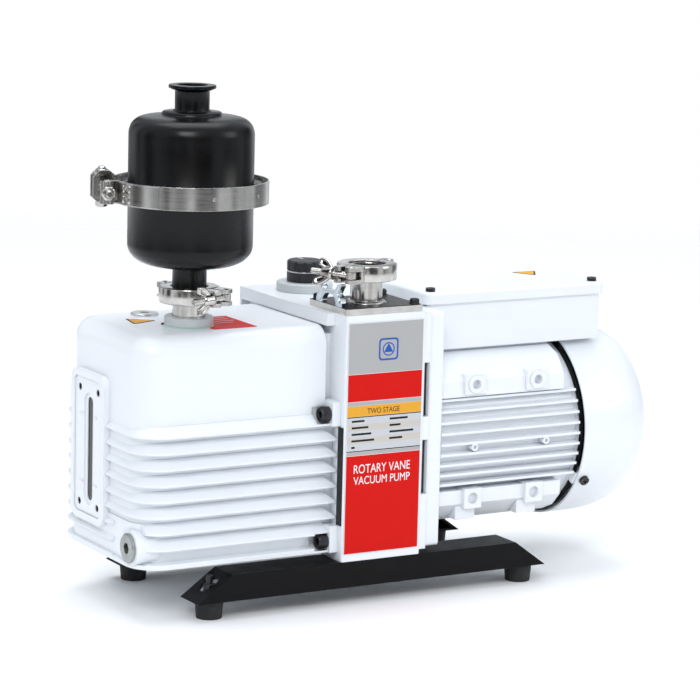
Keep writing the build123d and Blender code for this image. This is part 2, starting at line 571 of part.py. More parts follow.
with BuildPart() as terminal_box_lid:
    box(27, 215, -57, 57, BOX_Z1, 262)
    fillet(terminal_box_lid.edges().filter_by(Axis.Z), 6)
    fillet(terminal_box_lid.edges().group_by(Axis.Z)[-1], 3)
    box(36, 206, -48, 48, BOX_Z1 - 1, 259, Mode.SUBTRACT)
    for x in (36, 206):
        rod_z(250, 263, x, -48, 2.1, Mode.SUBTRACT)
save(terminal_box_lid, "terminal_box_lid")

with BuildPart() as lid_screws:
    for x in (36, 206):
        rod_z(262, 265.2, x, -48, 4.2)
        rod_z(237, 262, x, -48, 2.0)
        box(x - 0.6, x + 0.6, -53, -43, 264.2, 266, Mode.SUBTRACT)
save(lid_screws, "lid_screws")

with BuildPart() as switch_bezel:
    box(SWITCH_X - 10, SWITCH_X + 10, 48, 54, PANEL_Z - 14, PANEL_Z + 14)
    box(SWITCH_X - 12, SWITCH_X + 12, 54, 56, PANEL_Z - 16, PANEL_Z + 16)
    box(SWITCH_X - 7.4, SWITCH_X + 7.4, 45, 58, PANEL_Z - 11.4, PANEL_Z + 11.4, Mode.SUBTRACT)
save(switch_bezel, "switch_bezel")

with BuildPart() as rocker_switch:
    with BuildSketch(x_plane(SWITCH_X - 7)):
        with BuildLine():
            Polyline((50, PANEL_Z - 9), (56.2, PANEL_Z - 10.6), (57.0, PANEL_Z), (59.6, PANEL_Z + 10.2),
                     (50, PANEL_Z + 9), close=True)
        make_face()
    extrude(amount=14)
save(rocker_switch, "rocker_switch")

with BuildPart() as power_inlet:
    box(INLET_X - 14, INLET_X + 14, 38, 54, PANEL_Z - 10, PANEL_Z + 10)
    box(INLET_X - 17, INLET_X + 17, 54, 57, PANEL_Z - 13, PANEL_Z + 13)
    box(INLET_X - 11.5, INLET_X + 11.5, 41, 58, PANEL_Z - 7.5, PANEL_Z + 7.5, Mode.SUBTRACT)
    for dx, dz in ((-7, -1.5), (0, 2.0), (7, -1.5)):
        box(INLET_X + dx - 1, INLET_X + dx + 1, 41, 52, PANEL_Z + dz - 2, PANEL_Z + dz + 2)
save(power_inlet, "power_inlet")

# --- coupling -----------------------------------------------------------------------------------
with BuildPart() as coupling_hubs:
    rod_x(-11, 13, 0, SHAFT_Z, 27)
    rod_x(-45, -21, 0, SHAFT_Z, 27)
    with Locations(*[(0, 18 * cos(radians(a)), SHAFT_Z + 18 * sin(radians(a))) for a in range(0, 360, 120)]):
        with Locations((-15.5, 0, 0)):
            Cylinder(6, 9.2, rotation=(0, 90, 0))
    with Locations(*[(0, 18 * cos(radians(a)), SHAFT_Z + 18 * sin(radians(a))) for a in range(60, 420, 120)]):
        with Locations((-16.5, 0, 0)):
            Cylinder(6, 9.2, rotation=(0, 90, 0))
    rod_x(-12, 14, 0, SHAFT_Z, 9.5, Mode.SUBTRACT)
    rod_x(-46, -20, 0, SHAFT_Z, 9.0, Mode.SUBTRACT)
save(coupling_hubs, "coupling_hubs")

with BuildPart() as coupling_spider:
    rod_x(-20.8, -11.2, 0, SHAFT_Z, 26)
    rod_x(-22, -10, 0, SHAFT_Z, 10, Mode.SUBTRACT)
    with Locations(*[(-16, 18 * cos(radians(a)), SHAFT_Z + 18 * sin(radians(a))) for a in range(0, 360, 60)]):
        Cylinder(6.3, 12, rotation=(0, 90, 0), mode=Mode.SUBTRACT)
save(coupling_spider, "coupling_spider")

# --- pump module inside the oil casing ----------------------------------------------------------
HV_X0, HV_X1, LV_X0, LV_X1 = -197.0, -137.0, -129.0, -99.0
STATOR_TOP, BLADE_T, BLADE_H = SHAFT_Z + 52, 5.0, 19.5
with BuildPart() as pump_stator:
    rod_x(-201, -95, 0, SHAFT_Z, 58)
    box(-201, -95, -60, 60, STATOR_TOP, 200, Mode.SUBTRACT)
    for x0, x1 in ((-202, HV_X1), (LV_X0, -94)):
        rod_x(x0, x1, 0, SHAFT_Z - ECC, BORE_R, Mode.SUBTRACT)
    rod_x(-140, -126, 0, SHAFT_Z, 9.4, Mode.SUBTRACT)
    rod_z(160, 190, -114, -12, 3.0, Mode.SUBTRACT)
save(pump_stator, "pump_stator")

with BuildPart() as pump_end_plates:
    rod_x(-211, -201, 0, SHAFT_Z, 56)
    rod_x(-95, -79, 0, SHAFT_Z, 58)
    rod_x(-212, -78, 0, SHAFT_Z, 9.06, Mode.SUBTRACT)
save(pump_end_plates, "pump_end_plates")

with BuildPart() as pump_rotor:
    rod_x(-209, -22, 0, SHAFT_Z, 9.0)
    rod_x(-200.6, -137.4, 0, SHAFT_Z, ROTOR_R)
    rod_x(-128.6, -95.4, 0, SHAFT_Z, ROTOR_R)
    for side in (-1, 1):
        y0, y1 = sorted((side * 15, side * 40))
        box(-201, -137, y0, y1, SHAFT_Z - BLADE_T / 2 - 0.05, SHAFT_Z + BLADE_T / 2 + 0.05, Mode.SUBTRACT)
        box(-129, -95, y0, y1, SHAFT_Z - BLADE_T / 2 - 0.05, SHAFT_Z + BLADE_T / 2 + 0.05, Mode.SUBTRACT)
save(pump_rotor, "pump_rotor")


def vane(x0, x1, side):
    """Flat vane with a rounded tip, stored fully in its rotor slot."""
    with BuildPart() as part:
        box(x0, x1, *sorted((side * 15.8, side * (15.8 + BLADE_H))), SHAFT_Z - BLADE_T / 2, SHAFT_Z + BLADE_T / 2)
        tip = part.edges().filter_by(Axis.X).filter_by(lambda e: abs(e.center().Y) > 30)
        fillet(tip, 2.0)
    return part


for name, x0, x1, side in (("vane_first_stage_a", -200.4, -137.6, 1), ("vane_first_stage_b", -200.4, -137.6, -1),
                           ("vane_second_stage_a", -128.4, -95.6, 1), ("vane_second_stage_b", -128.4, -95.6, -1)):
    save(vane(x0, x1, side), name)

with BuildPart() as exhaust_valve:
    box(-124, -104, -19, -5, STATOR_TOP, STATOR_TOP + 1.6)
save(exhaust_valve, "exhaust_valve")

# --- oil mist filter ----------------------------------------------------------------------------
SHELL_T = 1.6
with BuildPart() as filter_lower_shell:
    turned_z([(12.5, CLAMP_Z_EX), (20, CLAMP_Z_EX), (20, CLAMP_Z_EX + 2.6), (14.6, CLAMP_Z_EX + 4.7),
              (14.6, 290.5), (24, 291.5), (37, 294.5), (45, 298), (50, 302), (52.4, 306), (FILTER_R, 310),
              (FILTER_R, 353), (59, 355.2), (59, FILTER_SPLIT), (49, FILTER_SPLIT), (FILTER_R - SHELL_T, 352.5),
              (FILTER_R - SHELL_T, 310.3), (50.9, 306.6), (48.8, 303.2), (44.2, 299.5), (36.6, 296.1),
              (23.8, 293.1), (12.5, 292)], EXHAUST_X, EXHAUST_Y)
save(filter_lower_shell, "filter_lower_shell")

with BuildPart() as filter_upper_shell:
    turned_z([(49, FILTER_SPLIT), (59, FILTER_SPLIT), (59, 358.8), (FILTER_R, 361), (FILTER_R, 407),
              (52.2, 411), (50, 414.5), (46, 417.6), (40, 419.6), (25, 421.5), (24.5, 423), (14.6, 423.4),
              (14.6, FILTER_TOP - 4.7), (20, FILTER_TOP - 2.6), (20, FILTER_TOP), (12.5, FILTER_TOP),
              (12.5, 419.9), (39.6, 418), (45.2, 416.2), (48.8, 413.5), (50.7, 410.6), (FILTER_R - SHELL_T, 406.7),
              (FILTER_R - SHELL_T, 361.5)], EXHAUST_X, EXHAUST_Y)
save(filter_upper_shell, "filter_upper_shell")

with BuildPart() as filter_element:
    rod_z(296.4, 302, EXHAUST_X, EXHAUST_Y, 37)
    rod_z(300.5, 404, EXHAUST_X, EXHAUST_Y, 38)
    rod_z(290, 406, EXHAUST_X, EXHAUST_Y, 24, Mode.SUBTRACT)
    rod_z(404, 408, EXHAUST_X, EXHAUST_Y, 40)
    rod_z(403, 409, EXHAUST_X, EXHAUST_Y, 15, Mode.SUBTRACT)
save(filter_element, "filter_element")

STRAP_R, STRAP_T, STRAP_H, TBOLT_X = 64.6, 1.2, 19.5, EXHAUST_X - 73
LATCH_TURN = -17         # the latch is built at the -X side, then turned about the filter axis


def save_latch(builder, name):
    turned = builder.part.rotate(Axis((EXHAUST_X, EXHAUST_Y, 0), (0, 0, 1)), LATCH_TURN)
    turned.label = name
    export_step(turned, f"parts/{name}.step")


with BuildPart() as v_band:
    turned_z([(59.3, FILTER_SPLIT - 3), (STRAP_R, FILTER_SPLIT - 3), (STRAP_R, FILTER_SPLIT - STRAP_H / 2),
              (STRAP_R + STRAP_T, FILTER_SPLIT - STRAP_H / 2), (STRAP_R + STRAP_T, FILTER_SPLIT + STRAP_H / 2),
              (STRAP_R, FILTER_SPLIT + STRAP_H / 2), (STRAP_R, FILTER_SPLIT + 3), (59.3, FILTER_SPLIT + 3)],
             EXHAUST_X, EXHAUST_Y)
    box(TBOLT_X - 10, EXHAUST_X - 50, EXHAUST_Y - 7, EXHAUST_Y + 7, 340, 375, Mode.SUBTRACT)
    box(TBOLT_X - 5.5, EXHAUST_X - 60, EXHAUST_Y - 18, EXHAUST_Y - 8, FILTER_SPLIT - 9, FILTER_SPLIT + 9)
    box(TBOLT_X - 5.5, EXHAUST_X - 60, EXHAUST_Y + 8, EXHAUST_Y + 26, FILTER_SPLIT - 14, FILTER_SPLIT + 16)
    chamfer(v_band.edges().filter_by(Axis.Y).group_by(Axis.X)[0], 3)
    rod_y(EXHAUST_Y - 19, EXHAUST_Y + 27, TBOLT_X, FILTER_SPLIT, 3.3, Mode.SUBTRACT)
save_latch(v_band, "v_band")

with BuildPart() as t_bolt:
    rod_y(EXHAUST_Y - 31, EXHAUST_Y + 28, TBOLT_X, FILTER_SPLIT, 3.2)
    with Locations((TBOLT_X, EXHAUST_Y + 30.6, FILTER_SPLIT)):
        Cylinder(4.5, 16)
save_latch(t_bolt, "t_bolt")

with BuildPart() as t_bolt_nut:
    with BuildSketch(Plane(origin=(TBOLT_X, EXHAUST_Y - 18.4, FILTER_SPLIT), x_dir=(1, 0, 0), z_dir=(0, -1, 0))):
        RegularPolygon(6.4, 6, rotation=30)
    extrude(amount=6)
    rod_y(EXHAUST_Y - 27, EXHAUST_Y - 18, TBOLT_X, FILTER_SPLIT, 3.26, Mode.SUBTRACT)
save_latch(t_bolt_nut, "t_bolt_nut")
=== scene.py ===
"""Looks for the two-stage rotary vane vacuum pump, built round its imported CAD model. Metres, Z up."""

import random
from math import cos, pi, radians, sin, sqrt, tau

import bmesh
import bpy
from mathutils import Matrix, Vector


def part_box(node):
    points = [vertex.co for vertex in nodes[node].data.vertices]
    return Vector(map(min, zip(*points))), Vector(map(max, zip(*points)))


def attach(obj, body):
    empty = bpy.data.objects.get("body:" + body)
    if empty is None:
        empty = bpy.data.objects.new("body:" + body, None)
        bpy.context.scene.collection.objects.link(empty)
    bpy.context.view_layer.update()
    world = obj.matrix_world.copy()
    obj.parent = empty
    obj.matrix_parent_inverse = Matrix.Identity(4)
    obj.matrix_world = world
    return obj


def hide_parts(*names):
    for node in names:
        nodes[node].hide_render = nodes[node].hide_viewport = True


MM = 0.001

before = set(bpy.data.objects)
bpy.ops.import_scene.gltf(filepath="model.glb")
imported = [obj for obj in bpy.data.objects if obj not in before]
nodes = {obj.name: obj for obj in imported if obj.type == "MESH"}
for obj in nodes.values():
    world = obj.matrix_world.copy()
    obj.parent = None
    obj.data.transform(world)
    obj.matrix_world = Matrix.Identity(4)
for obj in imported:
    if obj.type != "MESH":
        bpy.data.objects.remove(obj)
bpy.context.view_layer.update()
scene = bpy.context.scene


# --- materials ----------------------------------------------------------------------------------
class Mat:
    """A node material: a Principled shader, and short ways to add and join nodes."""

    def __init__(self, name, **sockets):
        self.mat = bpy.data.materials.new(name)
        self.mat.use_nodes = True
        self.tree = self.mat.node_tree
        self.tree.nodes.clear()
        out = self.tree.nodes.new("ShaderNodeOutputMaterial")
        self.bsdf = self.tree.nodes.new("ShaderNodeBsdfPrincipled")
        self.tree.links.new(self.bsdf.outputs[0], out.inputs[0])
        self.coord = self.add("TexCoord").outputs["Object"]
        self.set(**sockets)

    def set(self, **sockets):
        for key, value in sockets.items():
            self.put(self.bsdf.inputs[key.replace("_", " ")], value)

    def put(self, socket, value):
        if isinstance(value, bpy.types.NodeSocket):
            self.tree.links.new(value, socket)
        elif isinstance(value, tuple) and len(value) == 3 and socket.type == "RGBA":
            socket.default_value = (*value, 1.0)
        else:
            socket.default_value = value

    def add(self, kind, inputs=None, **props):
        node = self.tree.nodes.new("ShaderNode" + kind)
        for key, value in props.items():
            setattr(node, key, value)
        for key, value in (inputs or {}).items():
            self.put(node.inputs[key], value)
        return node

    def stretched(self, sx, sy, sz):
        return self.add("Mapping", {"Vector": self.coord, "Scale": (sx, sy, sz)}).outputs[0]

    def noise(self, scale, detail=3.0, rough=0.55, vector=None):
        return self.add("TexNoise", {"Vector": vector or self.coord, "Scale": scale,
                                     "Detail": detail, "Roughness": rough}).outputs["Fac"]

    def span(self, value, lo, hi, out_lo, out_hi):
        return self.add("MapRange", {"Value": value, "From Min": lo, "From Max": hi,
                                     "To Min": out_lo, "To Max": out_hi}).outputs[0]

    def blend(self, factor, a, b):
        return self.add("Mix", {0: factor, 6: a, 7: b}, data_type="RGBA").outputs[2]

    def math(self, op, a, b=0.0):
        return self.add("Math", {0: a, 1: b}, operation=op).outputs[0]

    def rounded(self, radius):
        """Normal as if the piece's edges were rounded to this radius."""
        return self.add("Bevel", {"Radius": radius}, samples=6).outputs[0]

    def edges(self, radius):
        """1 on sharp edges, 0 on flat surfaces."""
        true = self.add("NewGeometry").outputs["Normal"]
        dot = self.add("VectorMath", {0: self.rounded(radius), 1: true}, operation="DOT_PRODUCT")
        return self.span(dot.outputs["Value"], 0.985, 0.86, 0.0, 1.0)

    def crevices(self, distance):
        """1 in narrow corners, 0 on open surfaces."""
        occlusion = self.add("AmbientOcclusion", {"Distance": distance}, samples=6).outputs["AO"]
        return self.span(occlusion, 0.75, 0.2, 0.0, 1.0)

    def bump(self, height, distance, radius=None):
        inputs = {"Height": height, "Distance": distance, "Strength": 1.0}
        if radius:
            inputs["Normal"] = self.rounded(radius)
        self.set(Normal=self.add("Bump", inputs).outputs[0])


def paint(name, color, low, high, peel=0.000012, radius=0.0009, crevice_shade=None, coat=0.25, chip=None,
          specular=0.5):
    """Sprayed paint: orange peel, uneven gloss, painted shade darkening the corners, and slight wear along
    edges.
    """
    m = Mat(name, Coat_Weight=coat, Coat_Roughness=0.12, IOR=1.5, Specular_IOR_Level=specular)
    patchy = m.noise(9.0, 1.0)
    tint = tuple(c * 0.985 for c in color)
    look = m.blend(m.span(patchy, 0.35, 0.65, 0.0, 1.0), color, tint)
    # painted shade: narrow corners and the gaps between fins are darkened towards a bluish grey through an
    # occlusion mask
    if crevice_shade:
        look = m.blend(m.math("MULTIPLY", m.crevices(0.005), 0.4), look, crevice_shade)
    if chip:
        worn = m.math("MULTIPLY", m.edges(0.0006), m.span(m.noise(420.0, 2.0), 0.5, 0.72, 0.0, 0.7))
        look = m.blend(worn, look, chip)
    gloss = m.span(m.noise(40.0, 2.0, 0.5), 0.3, 0.7, low, high)
    m.set(Base_Color=look, Roughness=gloss)
    height = m.math("ADD", m.noise(620.0, 2.0), m.math("MULTIPLY", m.noise(2600.0, 1.0), 0.25))
    m.bump(height, peel, radius)
    return m.mat


def metal(name, color, low, high, grain=(1.0, 1.0, 1.0), depth=0.00002, tone=0.8, bright=None,
          metallic=1.0):
    """Bare or plated metal with machining grain along the unstretched axes and brighter worn edges."""
    m = Mat(name, Metallic=metallic, IOR=1.45)
    lines = m.noise(900.0, 3.0, 0.6, m.stretched(*grain))
    cloud = m.noise(90.0, 4.0, 0.6)
    look = m.blend(m.span(cloud, 0.3, 0.7, 0.0, 1.0), color, tuple(c * tone for c in color))
    if bright:
        look = m.blend(m.math("MULTIPLY", m.edges(0.0005), m.span(cloud, 0.3, 0.6, 0.3, 0.9)), look, bright)
    mixed = m.math("ADD", m.math("MULTIPLY", lines, 0.6), m.math("MULTIPLY", cloud, 0.4))
    m.set(Base_Color=look, Roughness=m.span(mixed, 0.3, 0.7, low, high))
    m.bump(lines, depth, 0.0005)
    return m.mat


def moulded(name, color, low, high, grain=1400.0, depth=0.00003, tone=1.25):
    """Moulded plastic or rubber: fine pebble texture, slightly dusty, with a paler bloom on edges."""
    m = Mat(name, IOR=1.48)
    dust = m.span(m.noise(60.0, 5.0, 0.6), 0.4, 0.7, 0.0, 1.0)
    look = m.blend(dust, color, tuple(min(1.0, c * tone + 0.002) for c in color))
    bloom = tuple(min(1.0, c * 1.8 + 0.01) for c in color)
    look = m.blend(m.math("MULTIPLY", m.edges(0.0005), 0.35), look, bloom)
    m.set(Base_Color=look, Roughness=m.span(m.noise(240.0, 3.0), 0.3, 0.7, low, high))
    m.bump(m.noise(grain, 2.0), depth, 0.0006)
    return m.mat


WHITE = (0.80, 0.832, 0.868)
white_paint = paint("white_paint", WHITE, 0.28, 0.36, crevice_shade=(0.45, 0.5, 0.57))
white_plastic = paint("white_plastic", (0.80, 0.828, 0.86), 0.36, 0.46, peel=0.00001, coat=0.1,
                      crevice_shade=(0.45, 0.5, 0.57))
black_paint = paint("black_paint", (0.002, 0.002, 0.0023), 0.30, 0.42, peel=0.00003, coat=0.0, specular=0.14,
                    chip=(0.05, 0.05, 0.053))
black_satin = paint("black_satin", (0.0025, 0.0025, 0.0028), 0.22, 0.32, peel=0.00002, coat=0.0,
                    specular=0.24, chip=(0.05, 0.05, 0.052))
black_steel = metal("black_steel_screw", (0.045, 0.045, 0.05), 0.3, 0.5, depth=0.00003,
                    bright=(0.3, 0.3, 0.31), metallic=0.85)
rubber = moulded("rubber", (0.012, 0.012, 0.0125), 0.62, 0.8, depth=0.00005)
stainless = metal("stainless_turned", (0.66, 0.64, 0.61), 0.12, 0.24, (0.03, 0.03, 1.0), 0.00001,
                  bright=(0.85, 0.84, 0.82))
stainless_cast = metal("stainless_cast", (0.62, 0.60, 0.57), 0.09, 0.22, depth=0.00003, tone=0.72,
                       bright=(0.86, 0.85, 0.83))
zinc = metal("zinc", (0.68, 0.74, 0.80), 0.10, 0.24, depth=0.00004, tone=0.8, bright=(0.9, 0.93, 0.96))
aluminium = metal("aluminium", (0.70, 0.71, 0.72), 0.26, 0.40, (1.0, 0.05, 0.05), 0.00002,
                  bright=(0.85, 0.85, 0.86))
plug_steel = metal("plug_steel", (0.40, 0.42, 0.41), 0.28, 0.42, bright=(0.6, 0.62, 0.6))
cast_iron = metal("cast_iron", (0.20, 0.20, 0.21), 0.40, 0.58, depth=0.00008, bright=(0.35, 0.35, 0.36))
steel = metal("steel", (0.55, 0.55, 0.56), 0.22, 0.36, (1.0, 0.05, 0.05), bright=(0.75, 0.75, 0.75))
copper = metal("copper", (0.62, 0.27, 0.12), 0.28, 0.42, (0.05, 1.0, 1.0), 0.0001)
black_plastic = moulded("black_plastic", (0.016, 0.016, 0.018), 0.38, 0.52)
red_plastic = moulded("red_plastic", (0.48, 0.03, 0.02), 0.3, 0.45)
vane_fibre = moulded("vane", (0.16, 0.09, 0.045), 0.45, 0.6, tone=1.5)
grey_ring = paint("grey_ring", (0.56, 0.60, 0.61), 0.3, 0.42, coat=0.1)
paper = moulded("paper", (0.72, 0.66, 0.5), 0.8, 0.9, depth=0.0003, grain=700.0)


def glass_material():
    """Clear pane, dimmed and smeared by the oil behind it."""
    m = Mat("glass", Transmission_Weight=0.85, IOR=1.46, Base_Color=(0.10, 0.10, 0.10),
            Specular_IOR_Level=0.2)
    m.set(Roughness=m.span(m.noise(120.0, 4.0), 0.4, 0.75, 0.03, 0.16))
    m.bump(m.noise(50.0, 2.0), 0.00002)
    return m.mat


glass = glass_material()
label_base = paint("label_base", (0.80, 0.81, 0.82), 0.3, 0.4, peel=0.00002, coat=0.3)

stainless_band = metal("stainless_band", (0.52, 0.505, 0.485), 0.12, 0.24, (0.04, 0.04, 1.0), 0.000006,
                       bright=(0.85, 0.84, 0.82))
seal_green = moulded("seal_green", (0.46, 0.66, 0.58), 0.3, 0.4)
dark_oxide_and_painted_shadow = moulded("dark_oxide_and_painted_shadow", (0.014, 0.014, 0.015), 0.3, 0.45, depth=0.00002)
PRINTS = {"silver": (0.41, 0.41, 0.41), "red": (0.62, 0.008, 0.005), "yellow": (0.76, 0.37, 0.04),
          "beige": (0.56, 0.53, 0.49), "black": (0.02, 0.02, 0.022), "pale": (0.55, 0.57, 0.60),
          "white": (0.82, 0.83, 0.84), "blue": (0.02, 0.10, 0.42)}
print_silver, print_red, print_yellow, print_beige, print_black, print_pale, print_white, print_blue = (
    paint(f"print_{ink}", color, 0.4, 0.52, peel=0.000006, radius=None, coat=0.0, specular=0.1)
    for ink, color in PRINTS.items())

FINISH = {
    white_paint: ["oil_casing", "pump_flange", "motor_flange", "motor_housing", "motor_rear_shield",
                  "fan_cowl", "terminal_box", "sight_glass_plate"],
    white_plastic: ["terminal_box_lid"],
    black_paint: ["base_rail_front", "base_rail_rear"],
    black_satin: ["filter_lower_shell", "filter_upper_shell", "sight_glass_screws"],
    black_steel: ["casing_bolts", "intake_plate_screws", "cowl_screws", "lid_screws", "foot_bolts"],
    rubber: ["rubber_feet"],
    stainless: ["intake_plate", "intake_port", "exhaust_port", "v_band"],
    stainless_cast: ["exhaust_clamp_jaw_a", "exhaust_clamp_jaw_b", "exhaust_swing_bolt",
                     "exhaust_wing_nut", "intake_clamp_jaw_a", "intake_clamp_jaw_b",
                     "intake_swing_bolt", "intake_wing_nut", "t_bolt", "t_bolt_nut"],
    zinc: ["lifting_eye"],
    aluminium: ["oil_fill_plug", "coupling_hubs"],
    plug_steel: ["oil_drain_plug"],
    cast_iron: ["pump_stator", "pump_end_plates"],
    steel: ["motor_rotor", "motor_bearings", "pump_rotor", "stator_core", "exhaust_valve"],
    copper: ["stator_windings"],
    black_plastic: ["gas_ballast_knob", "switch_bezel", "power_inlet", "cooling_fan"],
    red_plastic: ["rocker_switch", "coupling_spider"],
    vane_fibre: ["vane_first_stage_a", "vane_first_stage_b", "vane_second_stage_a",
                 "vane_second_stage_b"],
    grey_ring: ["gas_ballast_base"],
    paper: ["filter_element"],
    glass: ["sight_glass_window"],
    label_base: ["nameplate"],
}
for material, names in FINISH.items():
    for name in names:
        nodes[name].data.materials.clear()
        nodes[name].data.materials.append(material)


# --- mesh building, in millimetres ---------------------------------------------------------------
def along(origin, axis=(0, 0, 1), twist=0.0):
    """Matrix that stands local Z on origin along axis."""
    turn = Vector(axis).to_track_quat("Z", "Y").to_matrix().to_4x4()
    return Matrix.Translation(origin) @ turn @ Matrix.Rotation(radians(twist), 4, "Z")


def block(x0, x1, y0, y1, z0, z1):
    bm = bmesh.new()
    corners = [bm.verts.new((x, y, z)) for z in (z0, z1) for x, y in ((x0, y0), (x1, y0), (x1, y1), (x0, y1))]
    for ids in ((3, 2, 1, 0), (4, 5, 6, 7), (0, 1, 5, 4), (1, 2, 6, 5), (2, 3, 7, 6), (3, 0, 4, 7)):
        bm.faces.new([corners[i] for i in ids])
    return bm


def prism(outline, z0, z1):
    """Upright prism over a plan outline of (x, y) points."""
    bm = bmesh.new()
    low = [bm.verts.new((x, y, z0)) for x, y in outline]
    high = [bm.verts.new((x, y, z1)) for x, y in outline]
    bm.faces.new(low[::-1])
    bm.faces.new(high)
    for i in range(len(low)):
        j = (i + 1) % len(low)
        bm.faces.new((low[i], low[j], high[j], high[i]))
    return bm


def turned(sections, n=64, ring=False):
    """Solid through rings round local Z, each (radius or radius(angle), z); ring closes it on itself."""
    bm = bmesh.new()
    loops = []
    for radius, z in sections:
        spokes = [(tau * i / n, radius(tau * i / n) if callable(radius) else radius) for i in range(n)]
        loops.append([bm.verts.new((r * cos(a), r * sin(a), z)) for a, r in spokes])
    for low, high in zip(loops, loops[1:] + (loops[:1] if ring else [])):
        for i in range(n):
            j = (i + 1) % n
            bm.faces.new((low[i], low[j], high[j], high[i]))
    if not ring:
        bm.faces.new(loops[0][::-1])
        bm.faces.new(loops[-1])
    return bm


def swept(profile, start, end, n):
    """Closed (radius, z) profile turned about local Z from start to end degrees, with flat ends."""
    bm = bmesh.new()
    loops = []
    for i in range(n + 1):
        a = radians(start + (end - start) * i / n)
        loops.append([bm.verts.new((r * cos(a), r * sin(a), z)) for r, z in profile])
    for low, high in zip(loops, loops[1:]):
        for i in range(len(profile)):
            j = (i + 1) % len(profile)
            bm.faces.new((low[i], low[j], high[j], high[i]))
    bm.faces.new(loops[0][::-1])
    bm.faces.new(loops[-1])
    return bm


def pillow(outline, thickness, pit=0.0):
    """Flat piece with a domed rim on both faces, over a plan outline; pit sinks the middle of each face."""
    cx = sum(p[0] for p in outline) / len(outline)
    cy = sum(p[1] for p in outline) / len(outline)
    steps = 5
    rim = [(0.72 + 0.28 * cos(t), sin(t)) for t in (i * pi / 2 / steps for i in range(steps))]
    if pit:
        rim += [(0.66, 1.0), (0.60, 1.0 - pit * 0.3), (0.50, 1.0 - pit), (0.3, 1.0 - pit * 1.2)]
    stack = [(grow, -lift) for grow, lift in rim[::-1]] + rim[1:]
    bm = bmesh.new()
    loops = []
    for grow, lift in stack:
        loops.append([bm.verts.new((cx + (x - cx) * grow, cy + (y - cy) * grow, lift * thickness / 2))
                      for x, y in outline])
    for low, high in zip(loops, loops[1:]):
        for i in range(len(outline)):
            j = (i + 1) % len(outline)
            bm.faces.new((low[i], low[j], high[j], high[i]))
    bm.faces.new(loops[0][::-1])
    bm.faces.new(loops[-1])
    return bm


def strip(path, thickness, z0, z1):
    """Sheet of even thickness standing on a plan path of (x, y) points."""
    bm = bmesh.new()
    rows = []
    for i, (x, y) in enumerate(path):
        ax, ay = path[max(i - 1, 0)]
        bx, by = path[min(i + 1, len(path) - 1)]
        size = sqrt((bx - ax) ** 2 + (by - ay) ** 2)
        nx, ny = -(by - ay) / size * thickness / 2, (bx - ax) / size * thickness / 2
        rows.append([bm.verts.new(p) for p in ((x + nx, y + ny, z0), (x - nx, y - ny, z0),
                                               (x - nx, y - ny, z1), (x + nx, y + ny, z1))])
    for a, b in zip(rows, rows[1:]):
        for i in range(4):
            j = (i + 1) % 4
            bm.faces.new((a[i], b[i], b[j], a[j]))
    bm.faces.new(rows[0])
    bm.faces.new(rows[-1][::-1])
    return bm


def arc(cx, cy, r, start, end, n):
    """Points on a circle from start to end degrees."""
    return [(cx + r * cos(radians(start + (end - start) * i / n)),
             cy + r * sin(radians(start + (end - start) * i / n))) for i in range(n + 1)]


def rounded_rect(x0, x1, y0, y1, r, n=6):
    return (arc(x1 - r, y1 - r, r, 0, 90, n) + arc(x0 + r, y1 - r, r, 90, 180, n)
            + arc(x0 + r, y0 + r, r, 180, 270, n) + arc(x1 - r, y0 + r, r, 270, 360, n))


def smooth_loop(points, n=6):
    """Closed Catmull-Rom curve through (x, y) points."""
    out = []
    for i in range(len(points)):
        p0, p1, p2, p3 = (Vector(points[(i + k) % len(points)]) for k in (-1, 0, 1, 2))
        for s in range(n):
            t = s / n
            v = 0.5 * (2 * p1 + (p2 - p0) * t + (2 * p0 - 5 * p1 + 4 * p2 - p3) * t ** 2
                       + (3 * p1 - p0 - 3 * p2 + p3) * t ** 3)
            out.append((v.x, v.y))
    return out


def thread(radius, z0, z1, pitch, depth, n=20, rows=6):
    """Screw thread round local Z with a slightly tapered tip at z1."""
    count = int((z1 - z0) / pitch * rows)
    sections = []
    for k in range(count + 1):
        z = z0 + (z1 - z0) * k / count
        tip = depth * max(0.0, 1 - (z1 - z) / pitch)

        def wave(a, z=z, tip=tip):
            phase = (z / pitch - a / tau) % 1.0
            return radius - tip - depth * abs(2 * phase - 1)
        sections.append((wave, z))
    return turned(sections, n)


def hexagon(radius):
    """Radius at each angle of a hexagon with this radius over its corners."""
    return lambda a: radius * cos(pi / 6) / cos(a % (pi / 3) - pi / 6)


class Piece:
    """Parts built apart, each with its own bevel and material, gathered into one object."""

    def __init__(self):
        self.bm = bmesh.new()

    def add(self, part, at=None, mat=0, bevel=0.0, segments=3):
        if bevel:
            sharp = [e for e in part.edges if len(e.link_faces) == 2 and e.calc_face_angle(0.0) > 0.5]
            bmesh.ops.bevel(part, geom=sharp, offset=bevel, segments=segments, profile=0.5,
                            affect="EDGES", clamp_overlap=True)
        for face in part.faces:
            face.material_index = mat
        if at is not None:
            part.transform(at)
        bmesh.ops.recalc_face_normals(part, faces=part.faces)
        mesh = bpy.data.meshes.new("part")
        part.to_mesh(mesh)
        part.free()
        self.bm.from_mesh(mesh)
        bpy.data.meshes.remove(mesh)
        return self

    def done(self, name, materials, slot, body="pump", replaces=(), at=None, angle=35):
        if at is not None:
            self.bm.transform(at)
        self.bm.transform(Matrix.Scale(MM, 4))
        mesh = bpy.data.meshes.new(name)
        self.bm.to_mesh(mesh)
        self.bm.free()
        for material in materials:
            mesh.materials.append(material)
        mesh.polygons.foreach_set("use_smooth", [True] * len(mesh.polygons))
        mesh.set_sharp_from_angle(angle=radians(angle))
        obj = bpy.data.objects.new(name, mesh)
        scene.collection.objects.link(obj)
        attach(obj, body)
        if replaces:
            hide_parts(*replaces)
        return obj


def node_box(name):
    """Corners of a CAD node in millimetres."""
    low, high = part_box(name)
    return [v / MM for v in low], [v / MM for v in high]


